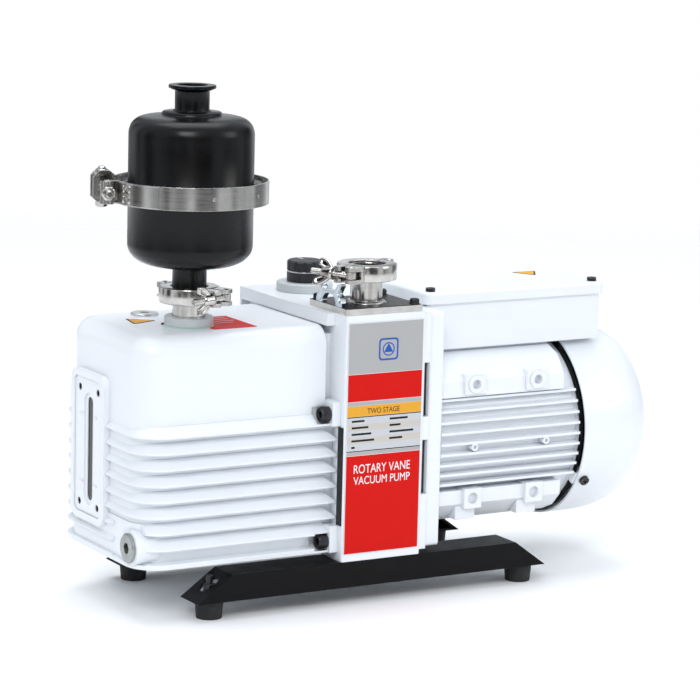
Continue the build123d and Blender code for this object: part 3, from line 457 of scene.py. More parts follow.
# --- screws -------------------------------------------------------------------------------------
def cap_screw(piece, at, radius, height, socket, shank, length, ridges=36):
    """Socket head cap screw with a knurled side, standing on local z = 0."""
    n = ridges * 2

    def knurl(a):
        return radius - (0.22 if round(a / tau * n) % 2 else 0.0)
    edge = radius - 0.8
    piece.add(turned([(shank, -length), (shank, -0.3), (edge, -0.05), (knurl, 0.4), (knurl, height - 1.2),
                      (radius - 0.35, height - 0.7), (edge, height), (socket * 1.22, height),
                      (hexagon(socket * 1.12), height - 0.4), (hexagon(socket), height - 0.8),
                      (hexagon(socket), height * 0.45), (0.3, height * 0.38)], n), at)


FIN_FACE_X = -79
bolts = Piece()
for y in (-75, 75):
    for z in (56, 167):
        cap_screw(bolts, along((FIN_FACE_X, y, z), (-1, 0, 0), 12), 6.5, 9.0, 3.4, 4.0, 19)
bolts.done("casing_cap_screws", [black_steel], "black_steel_screw", replaces=["casing_bolts"])

plate_low, plate_high = node_box("intake_plate")
plate_top = plate_high[2]
plate_holes = [(x, y) for x in (plate_low[0] + 6, plate_high[0] - 6)
               for y in (plate_low[1] + 5.5, plate_high[1] - 5.5)]
plate_screws = Piece()
for x, y in plate_holes:
    cap_screw(plate_screws, along((x, y, plate_top), (0, 0, 1), 20), 4.2, 5.0, 2.3, 2.5, 12.5, 27)
plate_screws.done("intake_cap_screws", [black_steel], "black_steel_screw", replaces=["intake_plate_screws"])

# --- port clamps ---------------------------------------------------------------------------------
RING = [(16.6, -7), (24.6, -7), (25.6, -6.6), (26, -5.6), (26, 5.6), (25.6, 6.6), (24.6, 7), (16.6, 7),
        (16, 6.3), (16, 5), (20.4, 3.2), (20.4, -3.2), (16, -5), (16, -6.3)]
WING = smooth_loop([(-12.0, 3.6), (-14.6, 7.2), (-19.6, 11.0), (-25.0, 12.6), (-28.3, 12.0), (-28.5, 9.4),
                    (-28.0, 6.4), (-25.2, 5.0), (-21.2, 3.2), (-16.6, 2.4)])


CLOSE_Y, PIVOT_X = -34, 8


def clamp(prefix, x, y, z, angle, wing_turn):
    """Hinged clamp in its own frame: hinge at +Y, and at CLOSE_Y a bolt along X, pivoted at PIVOT_X."""
    at = Matrix.Translation((x, y, z)) @ Matrix.Rotation(radians(angle), 4, "Z")
    knuckle = [(-6, 24), (-0.6, 24), (-0.6, 32.4), (-2.4, 33), (-4.6, 32.6), (-6, 31)]
    jaw_a = Piece().add(swept(RING, 91.5, 268.4, 60))
    lug = [(-9, -23), (-1, -23.5), (-1, -36.5), (-2.6, -38), (-7, -38), (-9, -35.5)]
    for z0, z1 in ((3.6, 7), (-7, -3.6)):
        jaw_a.add(prism(lug, z0, z1), bevel=0.7)
        jaw_a.add(prism(knuckle, *sorted((z0 * 0.72, z1))), bevel=0.6)
    jaw_a.add(block(-8.8, -1.1, -28.6, -22, -6.6, 6.6), bevel=1.0)
    jaw_a.done(f"{prefix}_jaw_cast_a", [stainless_cast], "stainless",
               replaces=[f"{prefix}_clamp_jaw_a"], at=at)

    jaw_b = Piece().add(swept(RING, -88.4, 88.5, 60))
    lug = [(1, -22), (13.8, -21), (14, -34), (12.4, -37.2), (9, -38), (4, -37.4), (1.4, -34)]
    for z0, z1 in ((3.6, 7), (-7, -3.6)):
        jaw_b.add(prism(lug, z0, z1), bevel=0.7)
    jaw_b.add(block(1.1, 13.8, -27, -20, -6.6, 6.6), bevel=1.0)
    for z1 in (7.5, -7.5):
        jaw_b.add(turned([(2.4, 0), (2.4, abs(z1) - 0.5), (1.8, abs(z1)), (0.2, abs(z1) + 0.05)], 24),
                  along((PIVOT_X, CLOSE_Y, 0), (0, 0, z1)))
        jaw_b.add(turned([(1.9, 0), (1.9, abs(z1) - 0.4), (1.4, abs(z1)), (0.2, abs(z1) + 0.05)], 24),
                  along((2.7, 29.5, 0), (0, 0, z1)))
    hinge = [(0.6, 23.5), (6, 22.5), (6, 31), (4.2, 33), (1.6, 33), (0.6, 32)]
    jaw_b.add(prism(hinge, -7, 7), bevel=0.6)
    jaw_b.add(prism([(-0.5, 26), (2, 26), (2, 33), (0.2, 32.6), (-0.5, 31.4)], -2.2, 2.2), bevel=0.4)
    jaw_b.done(f"{prefix}_jaw_cast_b", [stainless_cast], "stainless",
               replaces=[f"{prefix}_clamp_jaw_b"], at=at)

    swing = Piece().add(turned([(2.6, -2.9), (3.6, -3.2), (4.3, -2.5), (4.3, 2.5), (3.6, 3.2), (2.6, 2.9)],
                               40, ring=True), Matrix.Translation((PIVOT_X, CLOSE_Y, 0)))
    swing.add(thread(2.9, 0, 37.5, 1.25, 0.42), along((3.9, CLOSE_Y, 0), (-1, 0, 0)))
    swing.done(f"{prefix}_eye_bolt", [stainless_cast], "stainless", body=f"{prefix}_swing_bolt",
               replaces=[f"{prefix}_swing_bolt"], at=at)

    nut = Piece().add(turned([(3.0, -10), (5.0, -10), (5.6, -10.6), (5.6, -12.8), (4.9, -15.5), (4.7, -20.2),
                              (4.2, -21.5), (3.0, -22)], 40, ring=True),
                      Matrix.Translation((0, CLOSE_Y, 0)) @ Matrix.Rotation(radians(90), 4, "Y"))
    for side in (0, 180):
        wing = Matrix.Translation((0, CLOSE_Y, 0)) @ Matrix.Rotation(radians(90 + side + wing_turn), 4, "X")
        nut.add(pillow(WING, 3.4, pit=0.45), wing)
    nut.done(f"{prefix}_wing_cast", [stainless_cast], "stainless", body=f"{prefix}_wing_nut",
             replaces=[f"{prefix}_wing_nut"], at=at, angle=50)


EXHAUST, INTAKE = (-185.5, -19.0), (-33.0, -55.0)
EXHAUST_TOP, INTAKE_TOP = 268.6, 285.3
clamp("exhaust", *EXHAUST, EXHAUST_TOP, 22, 0)
clamp("intake", *INTAKE, INTAKE_TOP, -66, -28)


# --- oil mist filter ------------------------------------------------------------------------------
def spline(points, n=5):
    """Open Catmull-Rom curve through (radius, z) points; a doubled point stays a sharp corner."""
    out = []
    for i in range(len(points) - 1):
        p0, p1 = Vector(points[max(i - 1, 0)]), Vector(points[i])
        p2, p3 = Vector(points[i + 1]), Vector(points[min(i + 2, len(points) - 1)])
        if (p2 - p1).length < 0.01:
            continue
        for s in range(n):
            t = s / n
            v = 0.5 * (2 * p1 + (p2 - p0) * t + (2 * p0 - 5 * p1 + 4 * p2 - p3) * t ** 2
                       + (3 * p1 - p0 - 3 * p2 + p3) * t ** 3)
            out.append((v.x, v.y))
    return out + [points[-1]]


filter_axis = Matrix.Translation((*EXHAUST, 0))
SPLIT, FILTER_TOP = 357.0, 445.5
lower = [(12.5, EXHAUST_TOP), (19.6, EXHAUST_TOP), (20, EXHAUST_TOP + 0.4), (20, EXHAUST_TOP + 2.4),
         (19.5, EXHAUST_TOP + 2.9), (14.8, EXHAUST_TOP + 4.9), (14.6, EXHAUST_TOP + 5.6), (14.6, 289.6),
         (15.4, 291.2)]
lower += spline([(15.4, 291.2), (24, 292), (37, 294.6), (45.2, 298.2), (50.4, 303.2), (52.7, 308.6),
                 (53, 314)], 8)
lower += [(53, 352.6), (53.6, 353.6), (58.6, 355.4), (59, 355.9), (59, SPLIT - 0.05), (49, SPLIT - 0.05),
          (51.4, 352.5), (51.4, 312)]
lower += spline([(51.4, 312), (49.6, 306), (44.4, 299.9), (36.6, 296.4), (23.8, 293.7), (12.5, 293.2)], 6)
shell = Piece().add(turned(lower, 128, ring=True), filter_axis)
shell.done("filter_pressing_lower", [black_satin], "black_paint", replaces=["filter_lower_shell"], angle=40)
upper = [(49, SPLIT + 0.05), (59, SPLIT + 0.05), (59, 358.3), (58.6, 358.8), (53.6, 360.4), (53, 361.4),
         (53, 401)]
upper += spline([(53, 401), (52.7, 407), (50.6, 412.6), (46.2, 416.8), (40, 419.0), (30, 420.2),
                 (25.6, 420.6)], 8)
upper += [(25.2, 421.4), (24.9, 422.6), (24.2, 423.2), (16, 423.5), (14.9, 424.2), (14.6, 425.4),
          (14.6, FILTER_TOP - 5.4), (14.9, FILTER_TOP - 4.8), (19.5, FILTER_TOP - 2.9),
          (20, FILTER_TOP - 2.4), (20, FILTER_TOP - 0.5), (19.5, FILTER_TOP), (13.1, FILTER_TOP),
          (12.5, FILTER_TOP - 0.6), (12.5, 419.2)]
upper += spline([(12.5, 419.2), (39.2, 417.4), (45, 415.2), (49.2, 411.4), (51.2, 406.2), (51.4, 402)], 6)
upper += [(51.4, 361.5)]
shell = Piece().add(turned(upper, 128, ring=True), filter_axis)
shell.done("filter_pressing_upper", [black_satin], "black_paint", replaces=["filter_upper_shell"], angle=40)


def bead(center, radius, thick, seed, n=150):
    """Weld bead: a thick ring with overlapping ripples."""
    rng = random.Random(seed)
    wobble = [rng.uniform(0.9, 1.1) for _ in range(n)]
    bm = bmesh.new()
    loops = []
    for i in range(n):
        a = tau * i / n
        size = thick * wobble[i] * (1 + 0.16 * sin(a * 46))
        loops.append([bm.verts.new((cos(a) * (radius + size * cos(t)), sin(a) * (radius + size * cos(t)),
                                    size * 0.7 * sin(t))) for t in (tau * k / 10 for k in range(10))])
    for i in range(n):
        low, high = loops[i], loops[(i + 1) % n]
        for k in range(10):
            bm.faces.new((low[k], high[k], high[(k + 1) % 10], low[(k + 1) % 10]))
    bm.transform(Matrix.Translation(center))
    return bm


Piece().add(bead((*EXHAUST, 423.6), 15.0, 0.9, 3)).add(bead((*EXHAUST, 290.9), 14.9, 0.8, 5)).done(
    "filter_weld_beads", [black_satin], "black_paint", angle=60)

# V-band in its own frame round the filter axis: grooved retainers, strap with folded ends, pins and
# the saddle of the T-bolt
latch = Matrix.Translation((*EXHAUST, SPLIT)) @ Matrix.Rotation(radians(-17), 4, "Z")
band = Piece()
GROOVE = [(59.4, -2.9), (60.0, -3.9), (64.4, -5.2), (64.4, 5.2), (60.0, 3.9), (59.4, 2.9), (61.2, 1.9),
          (61.2, -1.9)]
for start, end in ((-66, 40), (44, 166), (194, 289)):
    band.add(swept(GROOVE, start, end, 60))
STRAP_R, STRAP_H = 65.2, 9.6
front_pin, rear_pin, bolt_x = (-73.0, -13.0), (-73.0, 17.5), -73.0
strap = (arc(*front_pin, 5.4, 330, 60, 26)
         + [(-70.5, -7.6), (-67.4, -11.0), (-65.2, -12.8), (-63.6, -14.9)]
         + arc(0, 0, STRAP_R, 194.5, 526, 150) + [(-64.6, 17.6), (-67.2, 14.2), (-70.4, 12.2)]
         + arc(*rear_pin, 6.2, 295, 20, 26))
band.add(strip(strap, 1.2, -STRAP_H, STRAP_H), bevel=0.25, segments=1)
for span in ((196, 236), (146, 164)):
    doubled = strip(arc(0, 0, STRAP_R + 1.1, *span, 36), 1.0, -STRAP_H + 0.8, STRAP_H - 0.8)
    band.add(doubled, bevel=0.3, segments=1)


def on_strap(azimuth, z, lift):
    """Frame on the strap's outside: its Z points away from the filter axis, its X up."""
    a = radians(azimuth)
    r = STRAP_R + lift
    return Matrix(((0, -sin(a), cos(a), cos(a) * r), (0, cos(a), sin(a), sin(a) * r), (1, 0, 0, z),
                   (0, 0, 0, 1)))


for azimuth in (203, 210):
    for z in (-4.4, 4.4):
        band.add(pillow(rounded_rect(-3.0, 3.0, -1.3, 1.3, 1.25, 5), 1.6), on_strap(azimuth, z, 1.6))
for azimuth in (-83, -41, 1, 43, 85, 127):
    band.add(turned([(1.3, -0.3), (1.25, 0.16), (0.85, 0.2), (0.6, 0.1), (0.1, 0.08)], 20),
             on_strap(azimuth, 0, 0.5))
for (px, py), tall, r in ((front_pin, 9.0, 4.6), (rear_pin, 15.5, 5.2)):
    band.add(turned([(r - 1.2, -tall - 0.6), (r - 0.3, -tall), (r, -tall + 0.8), (r, tall - 0.8),
                     (r - 0.3, tall), (r - 1.2, tall + 0.6), (0.6, tall + 0.9)], 32),
             Matrix.Translation((px, py, 0)))
# folded saddle that carries the T-head, open towards the bolt
SADDLE = [(-8.5, -8), (-5, -11), (7, -11), (11, -7), (11, 11), (5, 15.5), (-3, 15.5), (-8.5, 10)]
upright = Matrix.Translation((bolt_x, 0, 0)) @ Matrix.Rotation(pi / 2, 4, "X")
for y0, y1 in ((8.2, 10.2), (23.6, 25.6)):
    band.add(prism(SADDLE, -y1, -y0), upright, bevel=0.5)
band.add(strip([(bolt_x - 5.7, 9.0), (bolt_x - 5.7, 24.8)], 1.8, -9, 13), bevel=0.4)
band.add(turned([(2.0, 0), (3.4, 0.2), (3.4, 1.6), (2.2, 2.6), (0.4, 3.0)], 24),
         Matrix.Translation((*rear_pin, 15.6)))
band.done("v_band_assembly", [stainless_band], "stainless", replaces=["v_band"], at=latch)

tee = Piece().add(thread(3.2, 0, 41.5, 1.25, 0.45, rows=5), along((bolt_x, 10.6, 0), (0, -1, 0)))
tee.add(turned([(3.3, -8.4), (4.3, -7.8), (4.6, -6.6), (4.6, 6.6), (4.3, 7.8), (3.3, 8.4)], 32),
        Matrix.Translation((bolt_x, 13, 0)))
tee.done("t_bolt_threaded", [stainless_cast], "stainless", replaces=["t_bolt"], at=latch)
nut = Piece().add(turned([(3.3, 0.3), (5.7, 0), (hexagon(6.4), 0.6), (hexagon(6.4), 4.8), (5.6, 5.5),
                          (4.8, 6.0), (3.3, 5.7)], 48, ring=True), along((bolt_x, -18.4, 0), (0, -1, 0)))
nut.done("t_bolt_flange_nut", [stainless_cast], "stainless", body="filter_band_nut", replaces=["t_bolt_nut"],
         at=latch, angle=25)

# --- exhaust and intake ports ---------------------------------------------------------------------
CASE_TOP = 241.5
exhaust_base = Matrix.Translation((*EXHAUST, CASE_TOP))
collar = Piece().add(turned([(14.0, 0.9), (20.5, 0.9), (20.9, 1.3), (20.9, 7.4), (20.3, 8.2), (15.4, 8.7),
                             (14.0, 8.6)], 96, ring=True), exhaust_base)
collar.done("exhaust_collar", [grey_ring], "grey_ring")
seal = Piece().add(turned([(14.5, 0.02), (21.1, 0.02), (21.3, 0.25), (21.3, 0.55), (21.0, 0.8), (14.5, 0.9)],
                          96, ring=True), exhaust_base)
seal.done("exhaust_seal", [seal_green], "rubber")
weld = Piece().add(bead((*INTAKE, plate_top + 0.7), 14.8, 1.1, 9)).add(
    turned([(14.0, -0.1), (17.4, -0.1), (17.2, 0.7), (15.2, 1.9), (14.0, 2.1)], 96, ring=True),
    Matrix.Translation((*INTAKE, plate_top)))
weld.done("intake_weld", [stainless], "stainless", angle=60)


def flat_sheet(name, loops, z, material, slot, thick):
    """Thin sheet with holes: the first loop of (x, y) points is its rim, the others are holes."""
    curve = bpy.data.curves.new(name, "CURVE")
    curve.dimensions, curve.fill_mode, curve.extrude = "2D", "BOTH", thick / 2 * MM
    for loop in loops:
        line = curve.splines.new("POLY")
        line.points.add(len(loop) - 1)
        for point, (x, y) in zip(line.points, loop):
            point.co = (x * MM, y * MM, 0, 1)
        line.use_cyclic_u = True
    holder = bpy.data.objects.new(name, curve)
    mesh = bpy.data.meshes.new_from_object(holder)
    bpy.data.objects.remove(holder)
    bm = bmesh.new()
    bm.from_mesh(mesh)
    bmesh.ops.remove_doubles(bm, verts=bm.verts, dist=1e-6)
    bmesh.ops.scale(bm, vec=(1 / MM, 1 / MM, 1 / MM), verts=bm.verts)
    Piece().add(bm, Matrix.Translation((0, 0, z + thick / 2))).done(name, [material], slot)


rim = rounded_rect(plate_low[0] + 1.6, plate_high[0] - 1.6, plate_low[1] + 1.6, plate_high[1] - 1.6, 2.0)
holes = [arc(*INTAKE, 18.2, 0, 354, 59)] + [arc(x, y, 5.2, 0, 350, 35) for x, y in plate_holes]
flat_sheet("intake_plate_gasket", [rim] + holes, plate_top, dark_oxide_and_painted_shadow, "black_paint", 0.35)

# --- lifting eye ----------------------------------------------------------------------------------
low, high = node_box("lifting_eye")
mid_y = (low[1] + high[1]) / 2
casting = smooth_loop([(-21.4, 0.2), (-21.4, 4.4), (-18.6, 8.4), (-15.6, 11.0), (-17.6, 14.4),
                       (-20.6, 18.6), (-18.4, 19.4), (-14.6, 18.8), (-11.4, 15.2), (-7.8, 13.0),
                       (0, 12.4), (7.8, 12.6), (11.8, 13.2), (15.4, 17.2), (18.6, 19.4), (20.6, 18.6),
                       (17.6, 14.4), (15.6, 11.0), (18.6, 8.4), (21.4, 4.4), (21.4, 0.2), (12.0, 0.2),
                       (11.2, 3.6), (8.2, 7.4), (3.4, 9.3), (-3.4, 9.3), (-8.2, 7.4), (-11.2, 3.6),
                       (-12.0, 0.2)], 5)
swap_axes = Matrix(((0, 0, 1, 0), (1, 0, 0, 0), (0, 1, 0, 0), (0, 0, 0, 1)))
stand = Matrix.Translation((low[0], mid_y, plate_top)) @ swap_axes
eye = Piece().add(prism(casting, 0.6, 5.4), stand, bevel=0.9)
rib = smooth_loop([(-17.5, 17.4), (-13.6, 15.4), (-10.2, 11.8), (0, 10.9), (10.2, 11.8), (13.6, 15.4),
                   (17.5, 17.4), (14.6, 11.4), (17.8, 6.6), (18.6, 2.0), (14.6, 2.0), (12.6, 6.6),
                   (8.4, 9.6), (0, 10.4), (-8.4, 9.6), (-12.6, 6.6), (-14.6, 2.0), (-18.6, 2.0),
                   (-17.8, 6.6), (-14.6, 11.4)], 4)
eye.add(prism(rib, 0.0, 6.0), stand, bevel=0.7)
eye.done("lifting_eye_cast", [zinc], "zinc", replaces=["lifting_eye"])

# --- casing: gasket strips, stickers, level marks ---------------------------------------------------
gasket = Piece()
for y0, y1 in ((-87.6, -79.4), (76.4, 84.6)):
    gasket.add(prism(rounded_rect(-71.95, -70.9, y0, y1, 0.3, 3), 70.5, 156), bevel=0.15, segments=1)
gasket.done("casing_gasket", [rubber], "rubber")

marks = Piece()
for z in (103, 162):
    for y in (8.4, 35.6):
        marks.add(block(-259.3, -258.3, y - 3.2, y + 3.2, z - 0.7, z + 0.7), bevel=0.3, segments=2)
marks.done("sight_glass_level_marks", [white_paint], "white_paint")


def triangle(side, r):
    """Equilateral triangle with rounded corners, pointing along +Y."""
    h = side * sqrt(3) / 2
    tips = ((side / 2, -h / 3, -30), (0, 2 * h / 3, 90), (-side / 2, -h / 3, 210))
    points = []
    for x, y, facing in tips:
        back = 2 * r
        cx, cy = x - back * cos(radians(facing)), y - back * sin(radians(facing))
        points += arc(cx, cy, r, facing - 60, facing + 60, 6)
    return points


def sticker(name, x, y, z, side, turn):
    """Blank yellow warning triangle with a black border, lying at height z."""
    at = Matrix.Translation((x, y, z)) @ Matrix.Rotation(radians(turn), 4, "Z")
    piece = Piece().add(prism(triangle(side, 1.6), 0.02, 0.14), at, mat=0)
    piece.add(prism(triangle(side * 0.80, 1.0), 0.12, 0.2), at, mat=1)
    piece.done(name, [print_black, print_yellow], "label")


sticker("sticker_casing", -216, 15, CASE_TOP, 28, 20)
low, high = node_box("terminal_box_lid")
sticker("sticker_lid", 176, 12, high[2], 26, 178)

cap = Piece().add(turned([(2.0, 0.02), (2.0, 0.9), (1.6, 1.3), (0.2, 1.4)], 24),
                  Matrix.Translation((-203.5, -7, CASE_TOP)))
cap.done("casing_top_cap", [black_plastic], "black_plastic")

tag = Piece().add(prism(rounded_rect(-176, -134, -47, 12, 1.6), CASE_TOP + 0.02, CASE_TOP + 0.16), mat=0)
for k, width in enumerate((34, 30, 34, 24)):
    y = 6 - k * 8.5
    tag.add(prism(rounded_rect(-155 - width / 2, -155 + width / 2, y - 0.8, y + 0.8, 0.5), CASE_TOP + 0.1,
                  CASE_TOP + 0.2), mat=1)
tag.done("red_tag", [print_red, print_pale], "label")

# --- gas ballast knob -------------------------------------------------------------------------------
low, high = node_box("gas_ballast_knob")
cx, cy = (low[0] + high[0]) / 2, (low[1] + high[1]) / 2
inlay = Piece()
inlay.add(turned([(14.3, 269.1), (15.3, 269.4), (15.3, 270.6), (14.3, 270.9)], 72, ring=True),
          Matrix.Translation((cx, cy, 0)))
inlay.add(prism([(cx - 1.1, cy + 4.2), (cx + 1.1, cy + 4.2), (cx + 1.1, cy + 9.6), (cx + 2.6, cy + 9.6),
                 (cx, cy + 13.6), (cx - 2.6, cy + 9.6), (cx - 1.1, cy + 9.6)], 279.4, 280.15),
          bevel=0.1, segments=1)
inlay.done("knob_inlay", [aluminium], "aluminium", body="gas_ballast_knob")

# --- front nameplate --------------------------------------------------------------------------------
low, high = node_box("nameplate")
PX0, PX1, PZ0, PZ1, PY = low[0] + 0.4, high[0] - 0.4, low[2] + 0.4, high[2] - 0.4, low[1]
TALL = PZ1 - PZ0


def panel(piece, top, bottom, mat, x0=PX0, x1=PX1, lift=0.08):
    """Printed band across the nameplate, between two shares of its height from the top."""
    piece.add(block(x0, x1, PY - lift, PY + 0.05, PZ1 - TALL * bottom, PZ1 - TALL * top), mat=mat)


face = Piece()
SILVER, RED, YELLOW, BEIGE, BLACK, PALE = range(6)
for top, bottom, mat in ((0.0, 0.218, SILVER), (0.220, 0.337, RED), (0.339, 0.356, SILVER),
                         (0.357, 0.402, YELLOW), (0.403, 0.407, BLACK), (0.551, 0.555, BLACK),
                         (0.556, 0.571, SILVER), (0.573, 1.0, RED)):
    panel(face, top, bottom, mat)
TABLE_TOP, TABLE_TALL, ROWS = 0.408, 0.142, 5
for k in range(ROWS):
    top, bottom = TABLE_TOP + TABLE_TALL * k / ROWS, TABLE_TOP + TABLE_TALL * (k + 1) / ROWS
    panel(face, top, bottom, BEIGE if k % 2 else PALE)
    stroke = (top + bottom) / 2 - 0.0045, (top + bottom) / 2 + 0.0045
    panel(face, *stroke, BLACK, PX0 + 4.5, PX0 + (17, 21, 24, 27, 8)[k], 0.1)
    if k < 4:
        panel(face, *stroke, BLACK, PX0 + 42, PX0 + (60, 53, 66, 55)[k], 0.1)
face.done("nameplate_print", [print_silver, print_red, print_yellow, print_beige, print_black, print_pale],
          "label")


def lettering(name, text, size, width, x, top, material):
    """Raised print: plain generic words, centred at x with their top edge a share of the height down."""
    curve = bpy.data.curves.new(name, "FONT")
    curve.body, curve.size, curve.extrude, curve.align_x = text, size * MM, 0.05 * MM, "CENTER"
    holder = bpy.data.objects.new(name, curve)
    mesh = bpy.data.meshes.new_from_object(holder)
    bpy.data.objects.remove(holder)
    bm = bmesh.new()
    bm.from_mesh(mesh)
    bmesh.ops.remove_doubles(bm, verts=bm.verts, dist=1e-7)
    xs, ys = [v.co.x for v in bm.verts], [v.co.y for v in bm.verts]
    squeeze = width * MM / (max(xs) - min(xs))
    bmesh.ops.translate(bm, vec=(-(max(xs) + min(xs)) / 2, -max(ys), 0), verts=bm.verts)
    bmesh.ops.scale(bm, vec=(squeeze / MM, 1 / MM, 1 / MM), verts=bm.verts)
    at = Matrix.Translation((x, PY - 0.1, PZ1 - TALL * top)) @ Matrix.Rotation(pi / 2, 4, "X")
    Piece().add(bm, at).done(name, [material], "label")


centre_x = (PX0 + PX1) / 2
lettering("nameplate_word_1", "ROTARY VANE", 11, 56, centre_x - 1, 0.612, print_white)
lettering("nameplate_word_2", "VACUUM PUMP", 10, 56, centre_x - 1, 0.664, print_white)
lettering("nameplate_word_3", "TWO STAGE", 6.6, 32, centre_x - 1, 0.3695, print_black)

symbol = Piece()
sx, sz = centre_x + 2.5, PZ1 - TALL * 0.118
flat = Matrix.Translation((sx, PY - 0.12, sz)) @ Matrix.Rotation(pi / 2, 4, "X")
rim, inner = rounded_rect(-9.6, 9.6, -9.6, 9.6, 3.2), rounded_rect(-8.1, 8.1, -8.1, 8.1, 2.2)
border = bmesh.new()
loops = [[border.verts.new((x, y, z)) for x, y in loop]
         for loop, z in ((rim, -0.02), (rim, 0.05), (inner, 0.05), (inner, -0.02))]
for a, b in zip(loops, loops[1:] + loops[:1]):
    for i in range(len(rim)):
        j = (i + 1) % len(rim)
        border.faces.new((a[i], a[j], b[j], b[i]))
symbol.add(border, flat)
symbol.add(turned([(5.9, -0.02), (4.9, -0.02), (4.9, 0.05), (5.9, 0.05)], 48, ring=True), flat)
symbol.add(prism([(-4.4, -2.6), (4.4, -2.6), (0, 5.2)], -0.02, 0.05), flat)
symbol.done("nameplate_symbol", [print_blue], "label")

# --- motor: painted shadow, a black ring standing in for the shade in the seam between the housing and the fan cowl ---
SHAFT_Z = 130.4
seam_shadow_ring = Piece().add(turned([(80.4, 0), (84.0, 0.1), (84.5, 0.4), (84.5, 1.5), (84.0, 1.8), (80.4, 1.9)],
                          160, ring=True), along((176.6, 0, SHAFT_Z), (1, 0, 0)))
seam_shadow_ring.done("motor_seam_shadow_ring", [black_paint], "black_paint")

# --- pump flange: painted shadow, dark plates standing in for the shade inside the ventilation slots ----
slot_shadow_plates = Piece()
for side in (-1, 1):
    for z0, z1 in ((159.8, 206.7), (91.3, 138.7)):
        slot_shadow_plates.add(block(9.1, 14.1, *sorted((side * 80.6, side * 81.2)), z0, z1), bevel=0.2, segments=1)
slot_shadow_plates.done("ventilation_slot_shadow_plates", [dark_oxide_and_painted_shadow], "black_plastic")

# --- motor: smooth fan cowl with its ring grille ----------------------------------------------------------
low, high = node_box("fan_cowl")
COWL_R, FAN_X, DOME_X, GRILLE_R = (high[1] - low[1]) / 2, high[0], 205.0, 56.0
dome = [radians(90 * k / 36) for k in range(37)]
skin = [(COWL_R - 1.8, low[0]), (COWL_R - 0.5, low[0]), (COWL_R, low[0] + 0.5), (COWL_R, 186), (COWL_R, 196)]
skin += [(GRILLE_R + (COWL_R - GRILLE_R) * cos(t), DOME_X + (FAN_X - DOME_X) * sin(t)) for t in dome]
skin += [(49.2, FAN_X), (48.6, FAN_X - 0.6), (48.6, FAN_X - 1.8), (GRILLE_R - 1.0, FAN_X - 1.8)]
skin += [(GRILLE_R - 1.8 + (COWL_R - GRILLE_R) * cos(t), DOME_X - 0.5 + (FAN_X - DOME_X - 1.3) * sin(t))
         for t in reversed(dome)]
skin += [(COWL_R - 1.8, 196)]
axis = along((0, 0, SHAFT_Z), (1, 0, 0))
cowl = Piece().add(turned(skin, 160, ring=True), axis)
for r in (42, 34, 26, 18):
    cowl.add(turned([(r - 1.4, FAN_X - 1.8), (r + 1.4, FAN_X - 1.8), (r + 1.4, FAN_X - 0.4), (r + 1.0, FAN_X),
                     (r - 1.0, FAN_X), (r - 1.4, FAN_X - 0.4)], 96, ring=True), axis)
cowl.add(turned([(11.4, FAN_X - 1.8), (11.4, FAN_X - 0.4), (11.0, FAN_X), (0.2, FAN_X)], 64), axis)
for angle in (0, 60, 120):
    bar = block(-49.5, 49.5, -2.4, 2.4, FAN_X - 1.7, FAN_X - 0.15)
    cowl.add(bar, axis @ Matrix.Rotation(radians(angle), 4, "Z"), bevel=0.3)
cowl.done("fan_cowl_smooth", [white_paint], "white_paint", replaces=["fan_cowl"], angle=28)

# --- sight glass: dark oil behind the window --------------------------------------------------------
low, high = node_box("sight_glass_window")
glass_y, glass_z = (low[1] + high[1]) / 2, (low[2] + high[2]) / 2
oil = Piece().add(prism(rounded_rect(-46, 46, -6.0, 6.0, 5.9, 8), 0.1, 0.6),
                  Matrix.Translation((high[0], glass_y, glass_z)) @ Matrix.Rotation(pi / 2, 4, "Y"))
oil.done("oil_behind_glass", [dark_oxide_and_painted_shadow], "black_plastic")

# --- floor, light and camera --------------------------------------------------------------------
def stage_floor(radius=2.6, clear=1.3):
    """Round pale floor that fades out into the plain background."""
    bm = bmesh.new()
    bmesh.ops.create_circle(bm, cap_ends=True, segments=96, radius=radius)
    mesh = bpy.data.meshes.new("floor")
    bm.to_mesh(mesh)
    bm.free()
    floor = bpy.data.objects.new("floor", mesh)
    scene.collection.objects.link(floor)
    m = Mat("floor", Base_Color=(0.95, 0.95, 0.95), Specular_IOR_Level=0.2)
    m.set(Roughness=m.span(m.noise(3.0), 0.3, 0.7, 0.6, 0.7))
    far = m.add("VectorMath", {0: m.coord}, operation="LENGTH").outputs["Value"]
    m.set(Alpha=m.span(far, clear, radius - 0.1, 1.0, 0.0))
    mesh.materials.append(m.mat)


def area_light(name, place, target, size, watts):
    """White rectangular lamp at place, facing target."""
    data = bpy.data.lights.new(name, "AREA")
    data.shape = "RECTANGLE"
    data.size, data.size_y = size
    data.energy = watts
    lamp = bpy.data.objects.new(name, data)
    lamp.location = place
    lamp.rotation_euler = (Vector(target) - Vector(place)).to_track_quat("-Z", "Y").to_euler()
    scene.collection.objects.link(lamp)


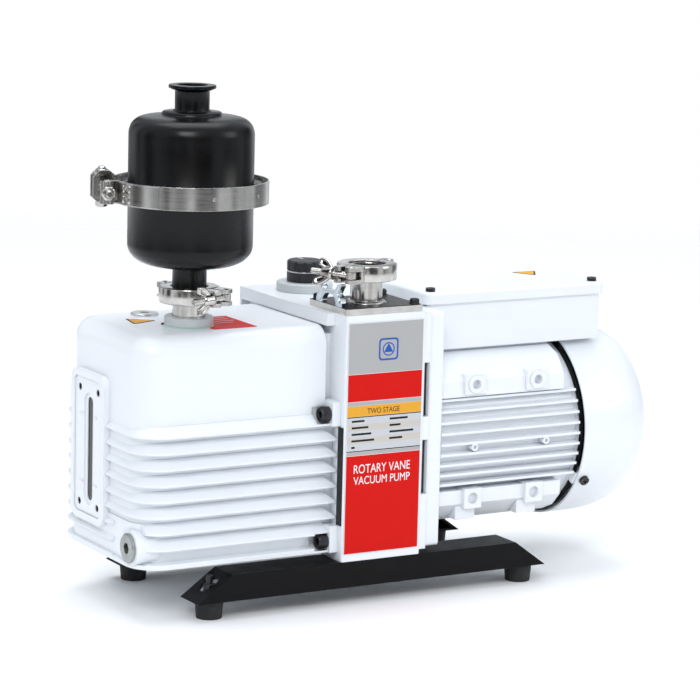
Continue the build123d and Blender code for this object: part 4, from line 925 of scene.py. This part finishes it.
def world_light():
    """A plain white background to look at, and a studio of pale and dark screens to light and reflect."""
    world = bpy.data.worlds.new("studio")
    world.use_nodes = True
    scene.world = world
    tree = world.node_tree
    tree.nodes.clear()

    def add(kind, **props):
        node = tree.nodes.new("ShaderNode" + kind)
        for key, value in props.items():
            setattr(node, key, value)
        return node

    def join(source, target):
        tree.links.new(source, target)

    coord = add("TexCoord")
    around = add("VectorMath", operation="MULTIPLY")
    around.inputs[1].default_value = (1.0, 1.0, 0.25)
    join(coord.outputs["Generated"], around.inputs[0])
    screens = add("TexNoise")
    screens.inputs["Scale"].default_value = 2.6
    screens.inputs["Detail"].default_value = 1.0
    join(around.outputs[0], screens.inputs["Vector"])
    bands = add("ValToRGB")
    ramp = bands.color_ramp
    ramp.elements[0].position, ramp.elements[0].color = 0.40, (0.045, 0.042, 0.04, 1)
    ramp.elements[1].position, ramp.elements[1].color = 0.62, (0.62, 0.65, 0.68, 1)
    join(screens.outputs["Fac"], bands.inputs[0])
    split = add("SeparateXYZ")
    join(coord.outputs["Generated"], split.inputs[0])
    height = add("MapRange")
    for key, value in (("From Min", 0.25), ("From Max", 0.75), ("To Min", 0.0), ("To Max", 1.0)):
        height.inputs[key].default_value = value
    join(split.outputs["Z"], height.inputs["Value"])
    sky = add("Mix", data_type="RGBA")
    sky.inputs[7].default_value = (0.62, 0.66, 0.72, 1)
    join(height.outputs[0], sky.inputs[0])
    join(bands.outputs[0], sky.inputs[6])
    studio, plain, seen = add("Background"), add("Background"), add("LightPath")
    join(sky.outputs[2], studio.inputs["Color"])
    studio.inputs["Strength"].default_value = 1.3
    plain.inputs["Color"].default_value = (1, 1, 1, 1)
    choose, out = add("MixShader"), add("OutputWorld")
    join(seen.outputs["Is Camera Ray"], choose.inputs[0])
    join(studio.outputs[0], choose.inputs[1])
    join(plain.outputs[0], choose.inputs[2])
    join(choose.outputs[0], out.inputs[0])


def camera():
    """Long lens a little above the pump, rolled slightly about its line of sight."""
    place, target = Vector((-1.37976, -2.33945, 0.68853)), Vector((-0.0157, 0.0, 0.2055))
    roll = radians(1.45)
    back = (place - target).normalized()
    right = (-back).cross(Vector((0, 0, 1))).normalized()
    up = right.cross(-back).normalized()
    right, up = right * cos(roll) + up * sin(roll), up * cos(roll) - right * sin(roll)
    data = bpy.data.cameras.new("camera")
    data.lens, data.sensor_width = 160.55, 36.0
    data.clip_end = 200.0
    cam = bpy.data.objects.new("camera", data)
    cam.matrix_world = Matrix((right, up, back)).transposed().to_4x4()
    cam.location = place
    scene.collection.objects.link(cam)
    scene.camera = cam


stage_floor()
world_light()
area_light("key", (-1.9, -2.4, 2.3), (0, 0, 0.2), (1.6, 1.2), 49)
area_light("fill", (2.4, -2.2, 1.5), (0, 0, 0.2), (1.4, 1.4), 20)
area_light("top", (0.1, 0.5, 2.8), (0, 0, 0.1), (2.4, 1.8), 38)
camera()
scene.view_settings.view_transform = "Standard"
